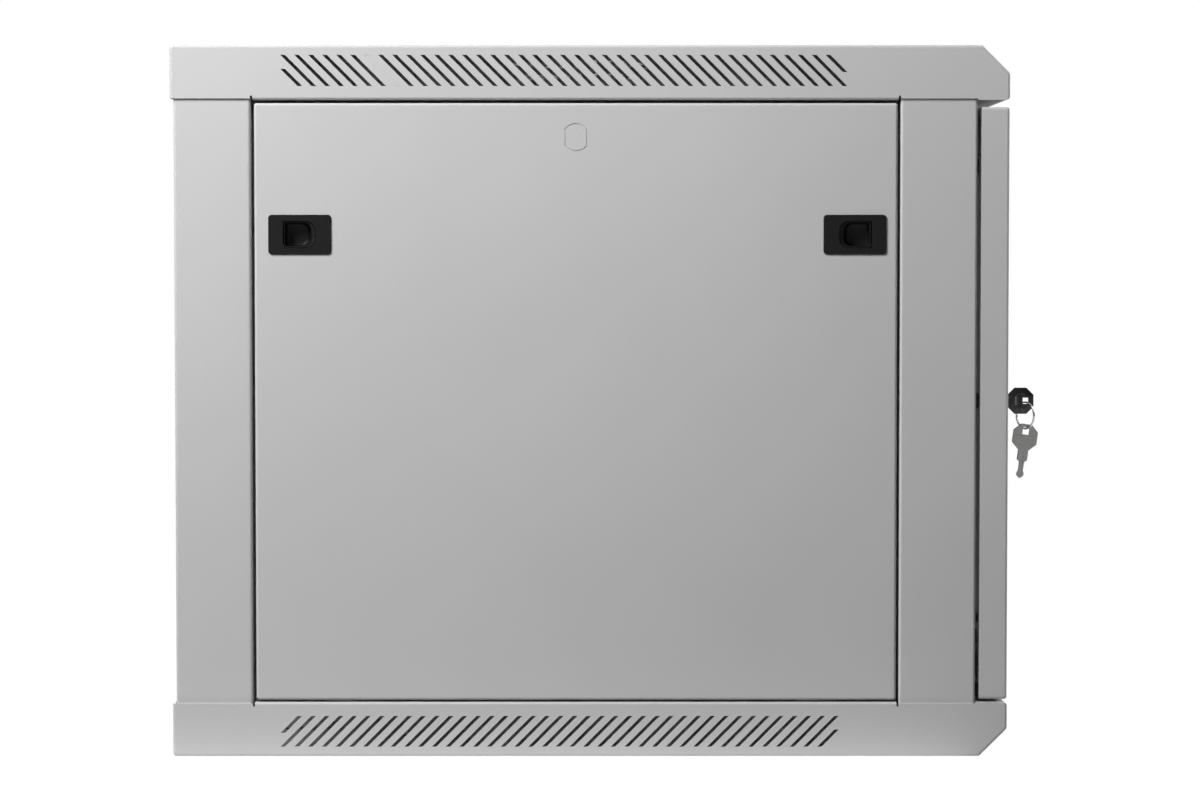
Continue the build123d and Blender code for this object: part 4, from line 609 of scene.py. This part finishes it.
def make_floor(level):
    """A pale floor well below the cabinet, which hangs on a wall."""
    half = FLOOR_HALF
    mesh = bpy.data.meshes.new("floor")
    corners = [(-half, -half, level), (half, -half, level), (half, half, level), (-half, half, level)]
    mesh.from_pydata(corners, [], [(0, 1, 2, 3)])
    floor = bpy.data.objects.new("floor", mesh)
    bpy.context.scene.collection.objects.link(floor)
    material, tree, shader, place = new_material("pale_floor")
    cloud = noise(tree, place, 0.6, 2.0)
    tint = ramp(tree, cloud, [(0.3, grey(0.86)), (0.7, grey(0.88))])
    tree.links.new(tint, shader.inputs["Base Color"])
    shader.inputs["Roughness"].default_value = 0.9
    rays = tree.nodes.new("ShaderNodeLightPath")
    glow = tree.nodes.new("ShaderNodeEmission")
    glow.inputs["Color"].default_value = (1, 1, 1, 1)
    seen = add_rays(tree, rays)
    level_node = tree.nodes.new("ShaderNodeMath")
    level_node.operation = "MULTIPLY"
    level_node.inputs[1].default_value = FLOOR_GLOW
    tree.links.new(seen, level_node.inputs[0])
    tree.links.new(level_node.outputs[0], glow.inputs["Strength"])
    both = tree.nodes.new("ShaderNodeAddShader")
    tree.links.new(shader.outputs["BSDF"], both.inputs[0])
    tree.links.new(glow.outputs["Emission"], both.inputs[1])
    tree.links.new(both.outputs["Shader"], tree.nodes["Material Output"].inputs["Surface"])
    mesh.materials.append(material)


def add_rays(tree, rays, reflection=None):
    """1 for camera and transmission rays, and 1 or a reflection level for glossy rays."""
    glossy = rays.outputs["Is Glossy Ray"]
    if reflection:
        level = tree.nodes.new("ShaderNodeMath")
        level.operation = "MULTIPLY"
        tree.links.new(glossy, level.inputs[0])
        tree.links.new(reflection, level.inputs[1])
        glossy = level.outputs[0]
    total = rays.outputs["Is Camera Ray"]
    for value in (glossy, rays.outputs["Is Transmission Ray"]):
        node = tree.nodes.new("ShaderNodeMath")
        node.operation = "MAXIMUM"
        tree.links.new(total, node.inputs[0])
        tree.links.new(value, node.inputs[1])
        total = node.outputs[0]
    return total


def make_world(ambient, reflected):
    """White where it is seen, with a darker room towards -X in reflections, and a weak even light."""
    world = bpy.data.worlds.new("studio")
    bpy.context.scene.world = world
    world.use_nodes = True
    tree = world.node_tree
    background = tree.nodes["Background"]
    rays = tree.nodes.new("ShaderNodeLightPath")
    direction = tree.nodes.new("ShaderNodeTexCoord")
    split = tree.nodes.new("ShaderNodeSeparateXYZ")
    tree.links.new(direction.outputs["Generated"], split.inputs["Vector"])
    sweep = tree.nodes.new("ShaderNodeMapRange")
    sweep.inputs["From Min"].default_value = -1.0
    tree.links.new(split.outputs["X"], sweep.inputs["Value"])
    levels = [(position, grey(level)) for position, level in reflected]
    seen = add_rays(tree, rays, ramp(tree, sweep.outputs["Result"], levels))
    mix = tree.nodes.new("ShaderNodeMapRange")
    mix.inputs["To Min"].default_value = ambient
    mix.inputs["To Max"].default_value = 1.0
    tree.links.new(seen, mix.inputs["Value"])
    background.inputs["Color"].default_value = (1, 1, 1, 1)
    tree.links.new(mix.outputs["Result"], background.inputs["Strength"])


def area_light(name, place, target, size, power, depth=None):
    """A soft lamp that isn't seen itself: square, or a strip where a depth is given."""
    data = bpy.data.lights.new(name, "AREA")
    data.shape = "RECTANGLE" if depth else "SQUARE"
    data.size = depth or size
    if depth:
        data.size_y = size
    data.energy = power
    light = bpy.data.objects.new(name, data)
    bpy.context.scene.collection.objects.link(light)
    light.location = place
    aim = Vector(target) - Vector(place)
    light.rotation_euler = aim.to_track_quat("-Z", "Y").to_euler()
    light.visible_camera = False


def make_camera():
    """The photograph's view: from the left side, a little above the middle."""
    data = bpy.data.cameras.new("camera")
    data.sensor_width = 36.0
    data.lens = CAMERA_LENS
    camera = bpy.data.objects.new("camera", data)
    bpy.context.scene.collection.objects.link(camera)
    turn = Matrix.Rotation(math.radians(-90), 4, "Z")
    tip = Matrix.Rotation(math.radians(90 - CAMERA_DOWN), 4, "X")
    camera.matrix_world = Matrix.Translation(CAMERA_PLACE) @ turn @ tip
    bpy.context.scene.camera = camera


make_floor(FLOOR_LEVEL)
make_world(AMBIENT, REFLECTED)
area_light("key_light", (-1.27, 0.8, 1.15), (-0.3, -0.3, 0.0), 0.7, 34.5)
area_light("top_light", (-0.9, -0.1, 1.0), (-0.3, -0.1, 0.0), 0.3, 3.6, 0.9)
area_light("sill_light", (-0.318, -0.25, -0.275), (-0.318, -0.25, 0.0), 0.65, 0.07, 0.02)
area_light("front_fill", (0.5, -2.6, 0.9), (0.0, -0.6, 0.0), 1.2, 40.0)
area_light("right_fill", (2.2, 0.3, 1.2), (0.3, -0.3, 0.0), 1.2, 34.0)
make_camera()

scene = bpy.context.scene
scene.view_settings.view_transform = "Standard"
